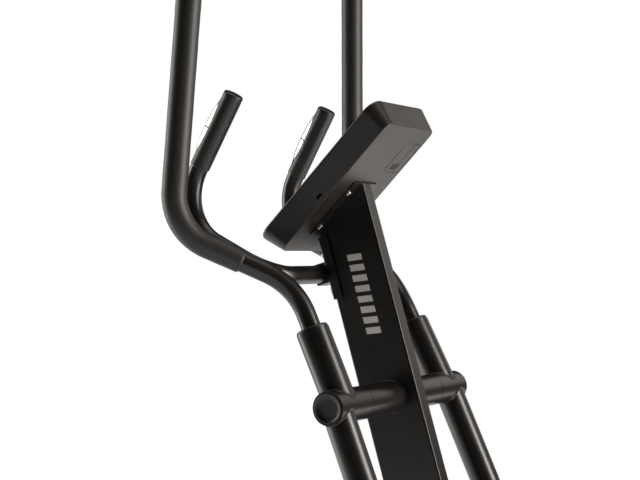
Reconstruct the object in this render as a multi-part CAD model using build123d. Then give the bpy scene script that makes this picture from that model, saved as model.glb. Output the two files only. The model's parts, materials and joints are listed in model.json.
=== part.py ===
from build123d import *
from math import acos, atan, atan2, cos, degrees, radians, sin, sqrt, tan
import os

# Elliptical trainer, rear drive, in millimetres.
# +X is forward, the way the user faces, +Y is the user's left and +Z is up.
# The origin is on the floor, under the centre of the whole machine.

# ---------------------------------------------------------------- driving dimensions
# mast and its pivot
PIVOT_HEIGHT = 955.0          # swing arm axis above the floor
MAST_LEAN = 16.44             # degrees, the top leans to the rear
MAST_AHEAD = 49.0             # pivot axis to the mast's front face
MAST_BEHIND = 55.9            # pivot axis to the mast's rear face
MAST_WIDTH = 29.5
MAST_CORNER = 3.0
MAST_WALL = 2.0
STUB_LENGTH = 300.0           # frame stub inside the mast
STUB_GAP = 0.4
BOSS_RADIUS = 27.0            # pivot tube on the mast and on the swing arms
PIVOT_WALL = 3.0
BOSS_END = 127.0              # end of the fixed pivot tube, from the middle
PIVOT_END = 229.3             # outer end of a swing arm's pivot sleeve
SEAM_GAP = 1.0
AXLE_RADIUS = 10.0
RUN_GAP = 0.05                # radial clearance of a running fit
BUSH_LENGTH = 20.0
RECESS_DEPTH = 45.0           # open outer end of the pivot sleeve
WASHER_GAP = 3.0              # washer clear of the sleeve's bore
WASHER_THICKNESS = 3.0
PIVOT_BOLT = (10.0, 7.0)      # head radius and height

# swing arms
ARM_ANGLE_RIGHT = 21.34       # lower end forward, at rest
ARM_ANGLE_LEFT = 24.36
ARM_LENGTH = 690.0            # pivot axis to lower hinge
LOWER_OFFSET = 203.4          # middle plane of the lower tube
LOWER_RADIUS = 24.75
SLEEVE_OFFSET = 185.8         # middle plane of the upper sleeve
SLEEVE_RADIUS = 26.8
SLEEVE_TILT = 2.93            # degrees, upper sleeve against lower tube
SLEEVE_LENGTH = 127.0
ARM_WALL = 2.5
EYE_RADIUS = 19.0
EYE_LENGTH = 50.0
HINGE_PIN_RADIUS = 8.0
HINGE_GAP = 2.4

# moving handles, their corners in the arm's own frame (forward, outward, up)
HANDLE_RADIUS = 15.9
HANDLE_WALL = 2.0
HANDLE_START = 62.0           # inner end of the handle inside its sleeve
HANDLE_BEND = 204.5           # first corner, along the sleeve
HANDLE_BACK = (-120.3, 309.6, 341.7)
HANDLE_TOP = (92.2, 294.1, 792.6)
HANDLE_BEND_RADII = (110.0, 90.0)
BUSH_LIP = 5.0
GRIP_RADIUS = 21.5
GRIP_START = 94.0             # foam starts this far past the first corner
GRIP_GAP = 0.1
CAP_THICKNESS = 7.0

# drive
CRANK_HEIGHT = 340.0
CRANK_RADIUS = 165.0
PEDAL_ARM_LENGTH = 850.0      # lower hinge to crank pin
CRANK_INNER = 56.0            # inner face of a crank arm
CRANK_THICKNESS = 16.0
CRANK_END_RADIUS = 19.0
PIN_GAP = 1.0                 # crank pin end to crank arm face
CRANK_PIN_RADIUS = 9.0
PEDAL_OFFSET = 143.0          # middle plane of a pedal arm
PEDAL_TUBE = (30.0, 45.0)     # width, height
PEDAL_WALL = 2.0
PEDAL_EYE_RADIUS = 20.0
PLATE_LENGTH = 380.0          # foot plate
PLATE_WIDTH = 130.0
PLATE_START = 150.0           # lower hinge to the toe end
PLATE_BASE = 12.0
PLATE_WALL = 5.0
PLATE_RIM = 34.0
PLATE_RIB = 2.0               # height of the tread ribs
BRACKET_LENGTH = 220.0
BRACKET_WIDTH = 96.0
SHEET = 3.0                   # steel plate thickness

# flywheel and belt
FLYWHEEL_RADIUS = 110.0
FLYWHEEL_AHEAD = 255.0        # flywheel axis in front of the crank axis
FLYWHEEL_HEIGHT = 300.0
FLYWHEEL_WIDTH = 30.0
FLYWHEEL_AXLE_RADIUS = 6.0
DRIVE_PULLEY_RADIUS = 145.0
SMALL_PULLEY_RADIUS = 24.0
BELT_PLANE = 29.5
BELT_WIDTH = 10.0
BELT_THICKNESS = 3.0
BELT_GAP = 0.3
BRAKE_GAP = 3.0
BRAKE_ARC = (-48.0, 28.0)     # degrees round the flywheel, from straight ahead

# housing
HOUSING_HALF = 50.0
HOUSING_WALL = 3.0
HOUSING_CRANK_RADIUS = 178.0
HOUSING_FLYWHEEL_RADIUS = 152.0
SHELL_GAP = 0.2

# base
RAIL_HEIGHT = 60.0
RAIL_WIDTH = 50.0
RAIL_WALL = 2.5
TUBE_RADIUS = 28.5            # stabilizer tubes
TUBE_CENTRE = 45.0            # their axis above the floor
TUBE_HALF = 262.0             # half their length
FRONT_TUBE_AHEAD = 102.596    # front stabilizer, ahead of the mast's foot
REAR_TUBE_BEHIND = 218.0      # rear stabilizer, behind the crank axis
CAP_LENGTH = 48.0
CAP_RADIUS = 33.0
CAP_FOOT = 26.0               # half the width of a cap's foot
WHEEL_RADIUS = 26.0
WHEEL_WIDTH = 20.0
WHEEL_AHEAD = 58.0            # wheel axis in front of the stabilizer tube
WHEEL_LIFT = 6.0              # wheel clear of the floor
WHEEL_INSET = 6.0             # middle of a wheel, in from the end of its tube
WHEEL_AXLE_RADIUS = 4.0
BOLT_RADIUS = 4.0             # frame bolts
BOLT_HOLE = 4.2
STABILIZER_BOLTS = (-12.0, 12.0)

# fixed handlebar
BAR_RADIUS = 15.5
BAR_WALL = 2.0
BAR_MAST = (-138.0, 202.0)    # middle of the bar at the mast, behind and above the pivot
BAR_CORNER_OUT = 172.0
BAR_LOW = (-336.0, 159.0, 297.0)
BAR_HIGH = (-222.0, 156.0, 498.0)
BAR_RADII = (58.0, 88.0)
PULSE_RADIUS = 17.0
PULSE_LENGTH = 132.0
PULSE_BULGE = (24.0, 15.5, 80.0)   # half sizes of the palm swell: to the user, across, along
PULSE_BULGE_PLACE = 64.0      # its middle, down the grip from the top
PULSE_BULGE_START = 6.0       # it stays on the user's side of the bar
PULSE_SHEET = 1.0             # sensor plate thickness
PULSE_BREAK = 3.0             # gap between the two sensor plates
PULSE_END = 5.0               # plain collar at each end of the grip
BRACKET_LOW = 184.0           # handlebar bracket, along the mast from the pivot
BRACKET_HIGH = 293.0
BRACKET_WRAP = 15.0
BRACKET_SHEET = 3.5
BOLT_LEVELS = (200.0, 263.0)
BOLT_SPREAD = 9.0

# console, in its own plane: along is up the slope, depth is towards the user
CONSOLE_ON_MAST = 333.4       # where its back plane cuts the mast's axis
CONSOLE_SLOPE = 45.43
CONSOLE_TOP = 179.5           # back face, like the bottom, width and corner
CONSOLE_BOTTOM = 109.0
CONSOLE_WIDTH = 173.8
CONSOLE_CORNER = 15.0
CONSOLE_DEPTH = 45.0
CONSOLE_FLARE = 13.5          # the front face is larger than the back by this all round
CONSOLE_SPLIT = 8.0           # depth of the back cover
CONSOLE_EDGES = (1.5, 4.0)    # rounding at the back and at the front
CONSOLE_WALL = 2.5
CONSOLE_BOARD = 24.0          # depth of the circuit board
BOARD_THICKNESS = 1.6
SNAP_SLOT = (8.0, 12.0, 4.0)  # place up the slope, length, depth, in both side faces
PLATE_ALONG = (-69.0, 54.0)
PLATE_HALF = 42.0
SCREW_ALONG = (-48.7, 29.4)
SCREW_SPREAD = 33.0
BATTERY_DOOR = (113.7, 54.0, 65.4, 54.0)   # along, across, length, width
LENS = (84.0, 136.0, 96.0)    # along, width, height
LENS_THICKNESS = 1.2
BUTTON_ALONG = -32.0
BUTTON_PITCH = 40.0
BUTTON_SIZE = (26.0, 13.0)
BUTTON_PROUD = 3.0
BUTTON_TRAVEL = 1.5           # how far a key goes in
BUTTON_GAP = 0.3
JACK_PLACE = (-62.0, 20.0)    # across, depth
JACK_RADIUS = 5.5


# ---------------------------------------------------------------- layout worked out from the sizes
def rise_of_crank():
    """Crank angle from upright, and the crank axis, that close both pedal links at rest."""
    def crank_x(side, angle):
        arm = radians(ARM_ANGLE_RIGHT if side > 0 else ARM_ANGLE_LEFT)
        hinge_height = PIVOT_HEIGHT - ARM_LENGTH * cos(arm)
        drop = CRANK_HEIGHT + side * CRANK_RADIUS * cos(angle) - hinge_height
        reach = sqrt(PEDAL_ARM_LENGTH ** 2 - drop ** 2)
        return ARM_LENGTH * sin(arm) - reach - side * CRANK_RADIUS * sin(angle)
    low, high = radians(-40), radians(40)
    for _ in range(60):
        middle = (low + high) / 2
        if crank_x(1, middle) > crank_x(-1, middle):
            low = middle
        else:
            high = middle
    return low, crank_x(1, low)


rail_bottom = TUBE_CENTRE + TUBE_RADIUS
rail_top = rail_bottom + RAIL_HEIGHT
lean = radians(MAST_LEAN)
slope = radians(CONSOLE_SLOPE)
front_from_pivot = (PIVOT_HEIGHT - rail_top) * tan(lean) + FRONT_TUBE_AHEAD

crank_angle, crank_from_pivot = rise_of_crank()
front_end = front_from_pivot + WHEEL_AHEAD + WHEEL_RADIUS
rear_end = crank_from_pivot - REAR_TUBE_BEHIND - CAP_RADIUS
pivot_x = -(front_end + rear_end) / 2
crank_x = pivot_x + crank_from_pivot
flywheel_x = crank_x + FLYWHEEL_AHEAD
front_x = pivot_x + front_from_pivot
rear_x = crank_x - REAR_TUBE_BEHIND

pivot = Vector(pivot_x, 0, PIVOT_HEIGHT)
mast_up = Vector(-sin(lean), 0, cos(lean))
mast_plane = Plane(origin=pivot, x_dir=(cos(lean), 0, sin(lean)), z_dir=mast_up)
console_plane = Plane(
    origin=pivot + mast_up * CONSOLE_ON_MAST,
    x_dir=(cos(slope), 0, sin(slope)),
    z_dir=(-sin(slope), 0, cos(slope)),
)
SIDES = {"right": -1, "left": 1}
ARM_ANGLES = {"right": radians(ARM_ANGLE_RIGHT), "left": radians(ARM_ANGLE_LEFT)}


def arm_point(side, forward, outward, up):
    """A point given in a swing arm's own frame, in the row frame at rest."""
    angle = ARM_ANGLES[side]
    return pivot + Vector(
        forward * cos(angle) - up * sin(angle),
        SIDES[side] * outward,
        forward * sin(angle) + up * cos(angle),
    )


def hinge_point(side):
    return arm_point(side, 0, 0, -ARM_LENGTH)


def crank_pin_point(side):
    sign = 1 if side == "right" else -1
    return Vector(
        crank_x + sign * CRANK_RADIUS * sin(crank_angle),
        0,
        CRANK_HEIGHT + sign * CRANK_RADIUS * cos(crank_angle),
    )


# ---------------------------------------------------------------- helpers
def rod(start, end, radius):
    axis = end - start
    base = Plane(origin=start, z_dir=axis)
    return base * Cylinder(radius, axis.length, align=(Align.CENTER, Align.CENTER, Align.MIN))


def pipe(start, end, radius, bore):
    return rod(start, end, radius) - rod(start, end, bore)


def cross_rod(centre, y_from, y_to, radius):
    """A round bar along Y, through the point in X and Z."""
    return rod(Vector(centre.X, y_from, centre.Z), Vector(centre.X, y_to, centre.Z), radius)


def slab(outline, y_from, y_to):
    """A flat piece: an outline drawn in X and Z, from one Y to the other."""
    low, high = min(y_from, y_to), max(y_from, y_to)
    side = Plane(origin=(0, high, 0), x_dir=(1, 0, 0), z_dir=(0, -1, 0))
    return extrude(side * outline, high - low)


def block(x_range, y_range, z_range):
    return Pos(
        (x_range[0] + x_range[1]) / 2, (y_range[0] + y_range[1]) / 2, (z_range[0] + z_range[1]) / 2
    ) * Box(abs(x_range[1] - x_range[0]), abs(y_range[1] - y_range[0]), abs(z_range[1] - z_range[0]))


def disc(x, z, radius):
    return Pos(x, z) * Circle(radius)


def round_link(first, first_radius, second, second_radius):
    """The outline round two circles, joined by their outer tangents. Points are (x, z)."""
    dx, dz = second[0] - first[0], second[1] - first[1]
    heading = atan2(dz, dx)
    spread = acos((first_radius - second_radius) / sqrt(dx * dx + dz * dz))
    corners = []
    for centre, radius, sides in ((first, first_radius, (1, -1)), (second, second_radius, (-1, 1))):
        for side in sides:
            angle = heading + side * spread
            corners.append((centre[0] + radius * cos(angle), centre[1] + radius * sin(angle)))
    web = Polygon(*corners, align=None)
    return web + disc(*first, first_radius) + disc(*second, second_radius)


def bent_tube(points, radii, radius, bore=0.0):
    path = FilletPolyline(*points, radius=radii)
    start = Plane(origin=path @ 0, z_dir=path % 0)
    section = Circle(radius) - Circle(bore) if bore else Circle(radius)
    return sweep(start * section, path)


def top_edge(solid, direction):
    """The rim of the end face that lies furthest along a direction."""
    end = max(solid.faces(), key=lambda face: face.center().dot(direction))
    return end.edges()


def dome_bolt(face, inwards, head_radius, length, shank_radius):
    """A domed head that sits on a face, with its shank going inwards."""
    outwards = inwards * -1
    height = head_radius * 0.6
    head = rod(face, face + outwards * height, head_radius)
    head = fillet(top_edge(head, outwards), height * 0.85)
    return head + rod(face, face + inwards * length, shank_radius)


def save(node, shape):
    """Keep one node. A list is a group of separate solids."""
    parts[node] = Compound(children=list(shape)) if isinstance(shape, list) else shape


parts = {}


# ---------------------------------------------------------------- mast and pivot
def mast_section(inset):
    depth = MAST_AHEAD + MAST_BEHIND - 2 * inset
    outline = RectangleRounded(depth, MAST_WIDTH - 2 * inset, max(MAST_CORNER - inset, 0.8))
    return Pos((MAST_AHEAD - MAST_BEHIND) / 2, 0) * outline


def mast_length(section, low, high):
    return extrude(mast_plane * (Pos(0, 0, low) * section), high - low)


def below_console(shape):
    """Cut a shape flush with the underside of the console plate."""
    above = Box(600, 600, 400, align=(Align.CENTER, Align.CENTER, Align.MIN))
    return shape - console_plane * Pos(0, 0, -SHEET) * above


def above_rail(shape, gap):
    below = Box(2400, 600, 900, align=(Align.CENTER, Align.CENTER, Align.MAX))
    return shape - Pos(pivot_x, 0, rail_top + gap) * below


def make_mast():
    low = -(PIVOT_HEIGHT - rail_top) / cos(lean) - 60
    high = CONSOLE_ON_MAST + 60
    outer = mast_length(mast_section(0), low, high)
    inner = mast_length(mast_section(MAST_WALL), low - 1, high + 1)
    bore = BOSS_RADIUS - PIVOT_WALL
    boss = cross_rod(pivot, -BOSS_END, BOSS_END, BOSS_RADIUS)
    mast = (outer - inner) + boss
    end = 10.0
    mast -= cross_rod(pivot, -(BOSS_END - end), BOSS_END - end, bore)
    mast -= cross_rod(pivot, -BOSS_END - 1, BOSS_END + 1, AXLE_RADIUS + RUN_GAP)
    save("mast", above_rail(below_console(mast), SEAM_GAP))


def make_pivot():
    bush_end = PIVOT_END - RECESS_DEPTH
    save("pivot_axle", cross_rod(pivot, -bush_end - 0.5, bush_end + 0.5, AXLE_RADIUS))
    bushes, bolts = [], []
    outside = BOSS_RADIUS - PIVOT_WALL - RUN_GAP
    for sign in SIDES.values():
        for start in (BOSS_END + 2 * SEAM_GAP, bush_end - BUSH_LENGTH):
            sleeve = cross_rod(pivot, sign * start, sign * (start + BUSH_LENGTH), outside)
            bore = cross_rod(pivot, sign * (start - 1), sign * (start + BUSH_LENGTH + 1), AXLE_RADIUS)
            bushes.append(sleeve - bore)
        washer_face = bush_end + 0.5
        head_face = washer_face + WASHER_THICKNESS
        washer_radius = BOSS_RADIUS - PIVOT_WALL - WASHER_GAP
        washer = cross_rod(pivot, sign * washer_face, sign * head_face, washer_radius)
        head = cross_rod(pivot, sign * head_face, sign * (head_face + PIVOT_BOLT[1]), PIVOT_BOLT[0])
        bolts += [washer, fillet(top_edge(head, Vector(0, sign, 0)), 2)]
    save("pivot_bushes", bushes)
    save("pivot_bolts", bolts)


# ---------------------------------------------------------------- swing arms and handles
def sleeve_point(side, distance):
    tilt = radians(SLEEVE_TILT)
    return arm_point(side, -sin(tilt) * distance, SLEEVE_OFFSET, cos(tilt) * distance)


def handle_corners(side):
    return [
        sleeve_point(side, HANDLE_START),
        sleeve_point(side, HANDLE_BEND),
        arm_point(side, *HANDLE_BACK),
        arm_point(side, *HANDLE_TOP),
    ]


def make_swing_arm(side):
    sign = SIDES[side]
    seam = BOSS_END + SEAM_GAP
    bore = BOSS_RADIUS - PIVOT_WALL
    top = arm_point(side, 0, LOWER_OFFSET, 0)
    eye = arm_point(side, 0, LOWER_OFFSET, -ARM_LENGTH)
    tube_end = arm_point(side, 0, LOWER_OFFSET, -ARM_LENGTH + EYE_RADIUS / 2)
    arm = cross_rod(pivot, sign * seam, sign * PIVOT_END, BOSS_RADIUS)
    arm += rod(sleeve_point(side, 0), sleeve_point(side, SLEEVE_LENGTH), SLEEVE_RADIUS)
    arm += rod(top, tube_end, LOWER_RADIUS)
    inner_eye = sign * (LOWER_OFFSET - EYE_LENGTH / 2)
    outer_eye = sign * (LOWER_OFFSET + EYE_LENGTH / 2)
    arm += cross_rod(eye, inner_eye, outer_eye, EYE_RADIUS)
    sleeve_floor, sleeve_mouth = sleeve_point(side, BOSS_RADIUS + 2), sleeve_point(side, SLEEVE_LENGTH + 1)
    arm -= rod(sleeve_floor, sleeve_mouth, SLEEVE_RADIUS - ARM_WALL)
    bore_start = arm_point(side, 0, LOWER_OFFSET, -BOSS_RADIUS - 2)
    bore_end = arm_point(side, 0, LOWER_OFFSET, -ARM_LENGTH + EYE_RADIUS + 2)
    arm -= rod(bore_start, bore_end, LOWER_RADIUS - ARM_WALL)
    arm -= cross_rod(pivot, sign * (seam - 1), sign * (PIVOT_END + 1), bore)
    arm -= cross_rod(eye, inner_eye - sign, outer_eye + sign, HINGE_PIN_RADIUS + RUN_GAP)
    save(f"swing_arm_{side}", arm)


def make_handle(side):
    corners = handle_corners(side)
    bore = HANDLE_RADIUS - HANDLE_WALL
    save(f"handle_{side}", bent_tube(corners, list(HANDLE_BEND_RADII), HANDLE_RADIUS, bore))

    first, second, top = corners[1:]
    rise = (top - second).normalized()
    grip_start = first + (second - first).normalized() * GRIP_START
    grip = bent_tube([grip_start, second, top], HANDLE_BEND_RADII[1], GRIP_RADIUS, HANDLE_RADIUS + GRIP_GAP)
    save(f"grip_{side}", grip)

    cap = rod(top, top + rise * CAP_THICKNESS, GRIP_RADIUS)
    cap = fillet(top_edge(cap, rise), CAP_THICKNESS * 0.7)
    cap += rod(top - rise * 15, top, bore - GRIP_GAP)
    save(f"handle_cap_{side}", cap)

    mouth = sleeve_point(side, SLEEVE_LENGTH)
    inside = sleeve_point(side, SLEEVE_LENGTH - 2 * BUSH_LENGTH)
    lip = sleeve_point(side, SLEEVE_LENGTH + BUSH_LIP)
    bush = rod(inside, mouth, SLEEVE_RADIUS - ARM_WALL - GRIP_GAP)
    rim = rod(mouth, lip, SLEEVE_RADIUS - 1)
    bush += fillet(top_edge(rim, lip - mouth), BUSH_LIP * 0.5)
    bush -= rod(inside, lip, HANDLE_RADIUS + RUN_GAP)
    save(f"sleeve_bush_{side}", bush)


# ---------------------------------------------------------------- pedal arms
def pedal_plane(side):
    """At the lower hinge: forward along the pedal arm, up square to it."""
    forward = (hinge_point(side) - crank_pin_point(side)).normalized()
    middle = Vector(0, SIDES[side] * PEDAL_OFFSET, 0)
    return Plane(origin=hinge_point(side) + middle, x_dir=forward, z_dir=(-forward.Z, 0, forward.X))


def make_pedal(side):
    sign = SIDES[side]
    plane = pedal_plane(side)
    width, height = PEDAL_TUBE
    hinge, pin = hinge_point(side), crank_pin_point(side)
    front_outer = LOWER_OFFSET - EYE_LENGTH / 2 - HINGE_GAP
    front_inner = PEDAL_OFFSET - width / 2 - 8
    rear_outer = PEDAL_OFFSET + width / 2 + 8
    rear_inner = PEDAL_OFFSET - width / 2 - 30

    tube = Pos(-PEDAL_ARM_LENGTH / 2, 0, 0) * Box(PEDAL_ARM_LENGTH, width, height)
    tube = fillet(tube.edges().filter_by(Axis.X), 5)
    cavity_length = PEDAL_ARM_LENGTH - 2 * PEDAL_EYE_RADIUS - 12
    cavity = Box(cavity_length, width - 2 * PEDAL_WALL, height - 2 * PEDAL_WALL)
    tube -= Pos(-PEDAL_ARM_LENGTH / 2, 0, 0) * cavity
    plate_middle = -(PLATE_START + PLATE_LENGTH / 2)
    plate_level = height / 2
    tube += Pos(plate_middle, 0, plate_level + SHEET / 2) * Box(BRACKET_LENGTH, BRACKET_WIDTH, SHEET)
    for offset in (-BRACKET_LENGTH / 3, BRACKET_LENGTH / 3):
        gusset = Polygon(
            (-BRACKET_WIDTH / 2 + 4, plate_level), (-width / 2, -4), (width / 2, -4),
            (BRACKET_WIDTH / 2 - 4, plate_level), align=None,
        )
        rib = Plane(origin=(plate_middle + offset, 0, 0), x_dir=(0, 1, 0), z_dir=(1, 0, 0)) * gusset
        rib = extrude(rib, SHEET)
        tube += rib - Pos(plate_middle + offset, 0, 0) * Box(20, width - 1, height - 1)
    arm = plane * tube
    arm += cross_rod(hinge, sign * front_inner, sign * front_outer, EYE_RADIUS)
    arm += cross_rod(pin, sign * rear_inner, sign * rear_outer, PEDAL_EYE_RADIUS)
    arm -= cross_rod(hinge, sign * (front_inner - 20), sign * (front_outer + 1), HINGE_PIN_RADIUS)
    arm -= cross_rod(pin, sign * (rear_inner - 1), sign * (rear_outer + 1), CRANK_PIN_RADIUS)

    base = plate_level + SHEET
    half_length, half_width = PLATE_LENGTH / 2, PLATE_WIDTH / 2
    outline = RectangleRounded(PLATE_LENGTH, PLATE_WIDTH, 28)
    tray = extrude(Pos(plate_middle, 0, base) * outline, PLATE_RIM)
    tray = fillet(tray.faces().sort_by(Axis.Z)[0].edges(), 5)
    pocket = RectangleRounded(PLATE_LENGTH - 2 * PLATE_WALL, PLATE_WIDTH - 2 * PLATE_WALL, 28 - PLATE_WALL)
    tray -= extrude(Pos(plate_middle, 0, base + PLATE_BASE) * pocket, PLATE_RIM)
    heel_corner = (plate_middle - half_length, -half_width - 1, base + PLATE_BASE + 4)
    heel = Plane(origin=heel_corner, x_dir=(1, 0, 0), z_dir=(0, -1, 0))
    fall = Polygon((-1, 0), (PLATE_LENGTH * 0.45, PLATE_RIM), (-1, PLATE_RIM), align=None)
    tray -= extrude(heel * fall, -(PLATE_WIDTH + 2))
    rows = 7
    for row in range(rows):
        across = (row - (rows - 1) / 2) * (PLATE_WIDTH - 44) / (rows - 1)
        rib = Box(PLATE_LENGTH - 90, 4, PLATE_RIB, align=(Align.CENTER, Align.CENTER, Align.MIN))
        tray += Pos(plate_middle, across, base + PLATE_BASE) * rib

    upright = (Align.CENTER, Align.CENTER, Align.MIN)
    tail = SHEET + 6
    head_level = PLATE_BASE + PLATE_RIB + 0.2
    bolts = []
    for along, across in [(plate_middle + a, c) for a in (-70, 70) for c in (-36, 36)]:
        hole = Pos(along, across, base) * Cylinder(3.2, 60)
        tray -= hole
        arm -= plane * hole
        shank = Pos(along, across, base - tail) * Cylinder(3, tail + head_level, align=upright)
        head = Pos(along, across, base + head_level) * Cylinder(7, 2.4, align=upright)
        bolts.append(plane * (shank + fillet(head.faces().sort_by(Axis.Z)[-1].edges(), 1.5)))
    save(f"pedal_arm_{side}", arm)
    save(f"foot_plate_{side}", plane * tray)

    outer = LOWER_OFFSET + EYE_LENGTH / 2 + PIN_GAP
    hinge_bolt = cross_rod(hinge, sign * (front_inner - 9), sign * outer, HINGE_PIN_RADIUS)
    hinge_bolt += cross_rod(hinge, sign * outer, sign * (outer + 8), HINGE_PIN_RADIUS * 1.7)
    nut = cross_rod(hinge, sign * (front_inner - 9), sign * (front_inner - 1), HINGE_PIN_RADIUS * 1.6)
    crank_face = CRANK_INNER + CRANK_THICKNESS + PIN_GAP
    crank_pin = cross_rod(pin, sign * crank_face, sign * rear_outer, CRANK_PIN_RADIUS)
    crank_pin += cross_rod(pin, sign * crank_face, sign * (rear_inner - PIN_GAP), CRANK_PIN_RADIUS * 1.45)
    crank_pin += cross_rod(pin, sign * rear_outer, sign * (rear_outer + 8), CRANK_PIN_RADIUS * 1.5)
    save(f"pedal_bolts_{side}", [hinge_bolt + nut, crank_pin] + bolts)


# ---------------------------------------------------------------- crank, belt and flywheel
def make_crank():
    axle_end = CRANK_INNER + CRANK_THICKNESS
    centre = Vector(crank_x, 0, CRANK_HEIGHT)
    axle = cross_rod(centre, -axle_end, axle_end, AXLE_RADIUS)
    caps = [cross_rod(centre, s * axle_end, s * (axle_end + 6), AXLE_RADIUS * 1.3) for s in (-1, 1)]
    save("crank_axle", axle + caps[0] + caps[1])
    for side, sign in SIDES.items():
        pin = crank_pin_point(side)
        hub = (crank_x, CRANK_HEIGHT)
        outline = round_link(hub, CRANK_END_RADIUS + 3, (pin.X, pin.Z), CRANK_END_RADIUS)
        bar = slab(outline, sign * CRANK_INNER, sign * axle_end)
        bar = fillet(bar.faces().filter_by(Axis.Y).edges(), 2)
        save(f"crank_arm_{side}", bar - cross_rod(centre, -axle_end - 1, axle_end + 1, AXLE_RADIUS))

    low, high = BELT_PLANE - BELT_WIDTH / 2 - 0.5, BELT_PLANE + BELT_WIDTH / 2 + 0.5
    wheel = disc(crank_x, CRANK_HEIGHT, DRIVE_PULLEY_RADIUS)
    spokes = 5
    for spoke in range(spokes):
        angle = radians(360 / spokes * (spoke + 0.5))
        reach = DRIVE_PULLEY_RADIUS * 0.58
        spoke_x, spoke_z = crank_x + reach * cos(angle), CRANK_HEIGHT + reach * sin(angle)
        wheel -= disc(spoke_x, spoke_z, DRIVE_PULLEY_RADIUS * 0.25)
    pulley = slab(wheel, low, high) + cross_rod(centre, low - 3, high + 3, AXLE_RADIUS * 3)
    save("drive_pulley", pulley - cross_rod(centre, low - 4, high + 4, AXLE_RADIUS))


def make_flywheel():
    centre = Vector(flywheel_x, 0, FLYWHEEL_HEIGHT)
    bore = FLYWHEEL_AXLE_RADIUS + RUN_GAP
    right = -FLYWHEEL_WIDTH * 2 / 3
    left = right + FLYWHEEL_WIDTH
    ring = disc(flywheel_x, FLYWHEEL_HEIGHT, FLYWHEEL_RADIUS)
    ring -= disc(flywheel_x, FLYWHEEL_HEIGHT, FLYWHEEL_RADIUS * 0.76)
    wheel = slab(ring, right, left)
    middle = (right + left) / 2
    wheel += slab(disc(flywheel_x, FLYWHEEL_HEIGHT, FLYWHEEL_RADIUS * 0.8), middle - 5, middle + 5)
    wheel += cross_rod(centre, right, left, 24)
    wheel -= cross_rod(centre, right - 1, left + 1, bore)
    save("flywheel", wheel)
    low, high = BELT_PLANE - BELT_WIDTH / 2 - 0.5, BELT_PLANE + BELT_WIDTH / 2 + 0.5
    pulley = cross_rod(centre, left, low, 17) + cross_rod(centre, low, high, SMALL_PULLEY_RADIUS)
    save("flywheel_pulley", pulley - cross_rod(centre, left - 1, high + 1, bore))

    right_plate, left_plate = dropout_planes()
    axle = cross_rod(centre, right_plate - SHEET - 6, left_plate + SHEET + 6, FLYWHEEL_AXLE_RADIUS)
    nuts = [
        cross_rod(centre, right_plate - SHEET - 5, right_plate - SHEET, FLYWHEEL_AXLE_RADIUS * 1.7),
        cross_rod(centre, left_plate + SHEET, left_plate + SHEET + 5, FLYWHEEL_AXLE_RADIUS * 1.7),
    ]
    save("flywheel_axle", axle + nuts[0] + nuts[1])

    crank_centre, wheel_centre = (crank_x, CRANK_HEIGHT), (flywheel_x, FLYWHEEL_HEIGHT)
    inside = (DRIVE_PULLEY_RADIUS + BELT_GAP, SMALL_PULLEY_RADIUS + BELT_GAP)
    loop = round_link(crank_centre, inside[0] + BELT_THICKNESS, wheel_centre, inside[1] + BELT_THICKNESS)
    loop -= round_link(crank_centre, inside[0], wheel_centre, inside[1])
    save("belt", slab(loop, BELT_PLANE - BELT_WIDTH / 2, BELT_PLANE + BELT_WIDTH / 2))


def dropout_planes():
    """Inner faces, in Y, of the two plates that hold the flywheel axle."""
    return -FLYWHEEL_WIDTH * 2 / 3 - 2, BELT_PLANE + BELT_WIDTH / 2 + 2


def brake_pivot():
    angle = radians(BRAKE_ARC[0] - 10)
    reach = FLYWHEEL_RADIUS + BRAKE_GAP + 10
    return Vector(flywheel_x + reach * cos(angle), 0, FLYWHEEL_HEIGHT + reach * sin(angle))


def make_brake():
    inner = FLYWHEEL_RADIUS + BRAKE_GAP
    magnet = 5.0
    low, high = (radians(a) for a in BRAKE_ARC)

    def sector(radius_in, radius_out, start, end):
        ring = disc(flywheel_x, FLYWHEEL_HEIGHT, radius_out)
        ring -= disc(flywheel_x, FLYWHEEL_HEIGHT, radius_in)
        reach = 2 * radius_out
        corners = [(flywheel_x, FLYWHEEL_HEIGHT)]
        for angle in (start, (start + end) / 2, end):
            corners.append((flywheel_x + reach * cos(angle), FLYWHEEL_HEIGHT + reach * sin(angle)))
        return ring & Polygon(*corners, align=None)

    right = -FLYWHEEL_WIDTH * 2 / 3 + 2
    left = right + FLYWHEEL_WIDTH - 4
    carrier = slab(sector(inner + magnet, inner + magnet + 5, low - radians(12), high), right, left)
    place = brake_pivot()
    carrier += cross_rod(place, right, left, 9)
    save("brake_arm", carrier - cross_rod(place, right - 1, left + 1, 4 + RUN_GAP))
    magnets = []
    count = 4
    step = (high - low) / count
    for index in range(count):
        start = low + step * (index + 0.1)
        magnets.append(slab(sector(inner, inner + magnet, start, start + step * 0.8), right + 2, left - 2))
    save("brake_magnets", magnets)


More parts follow.
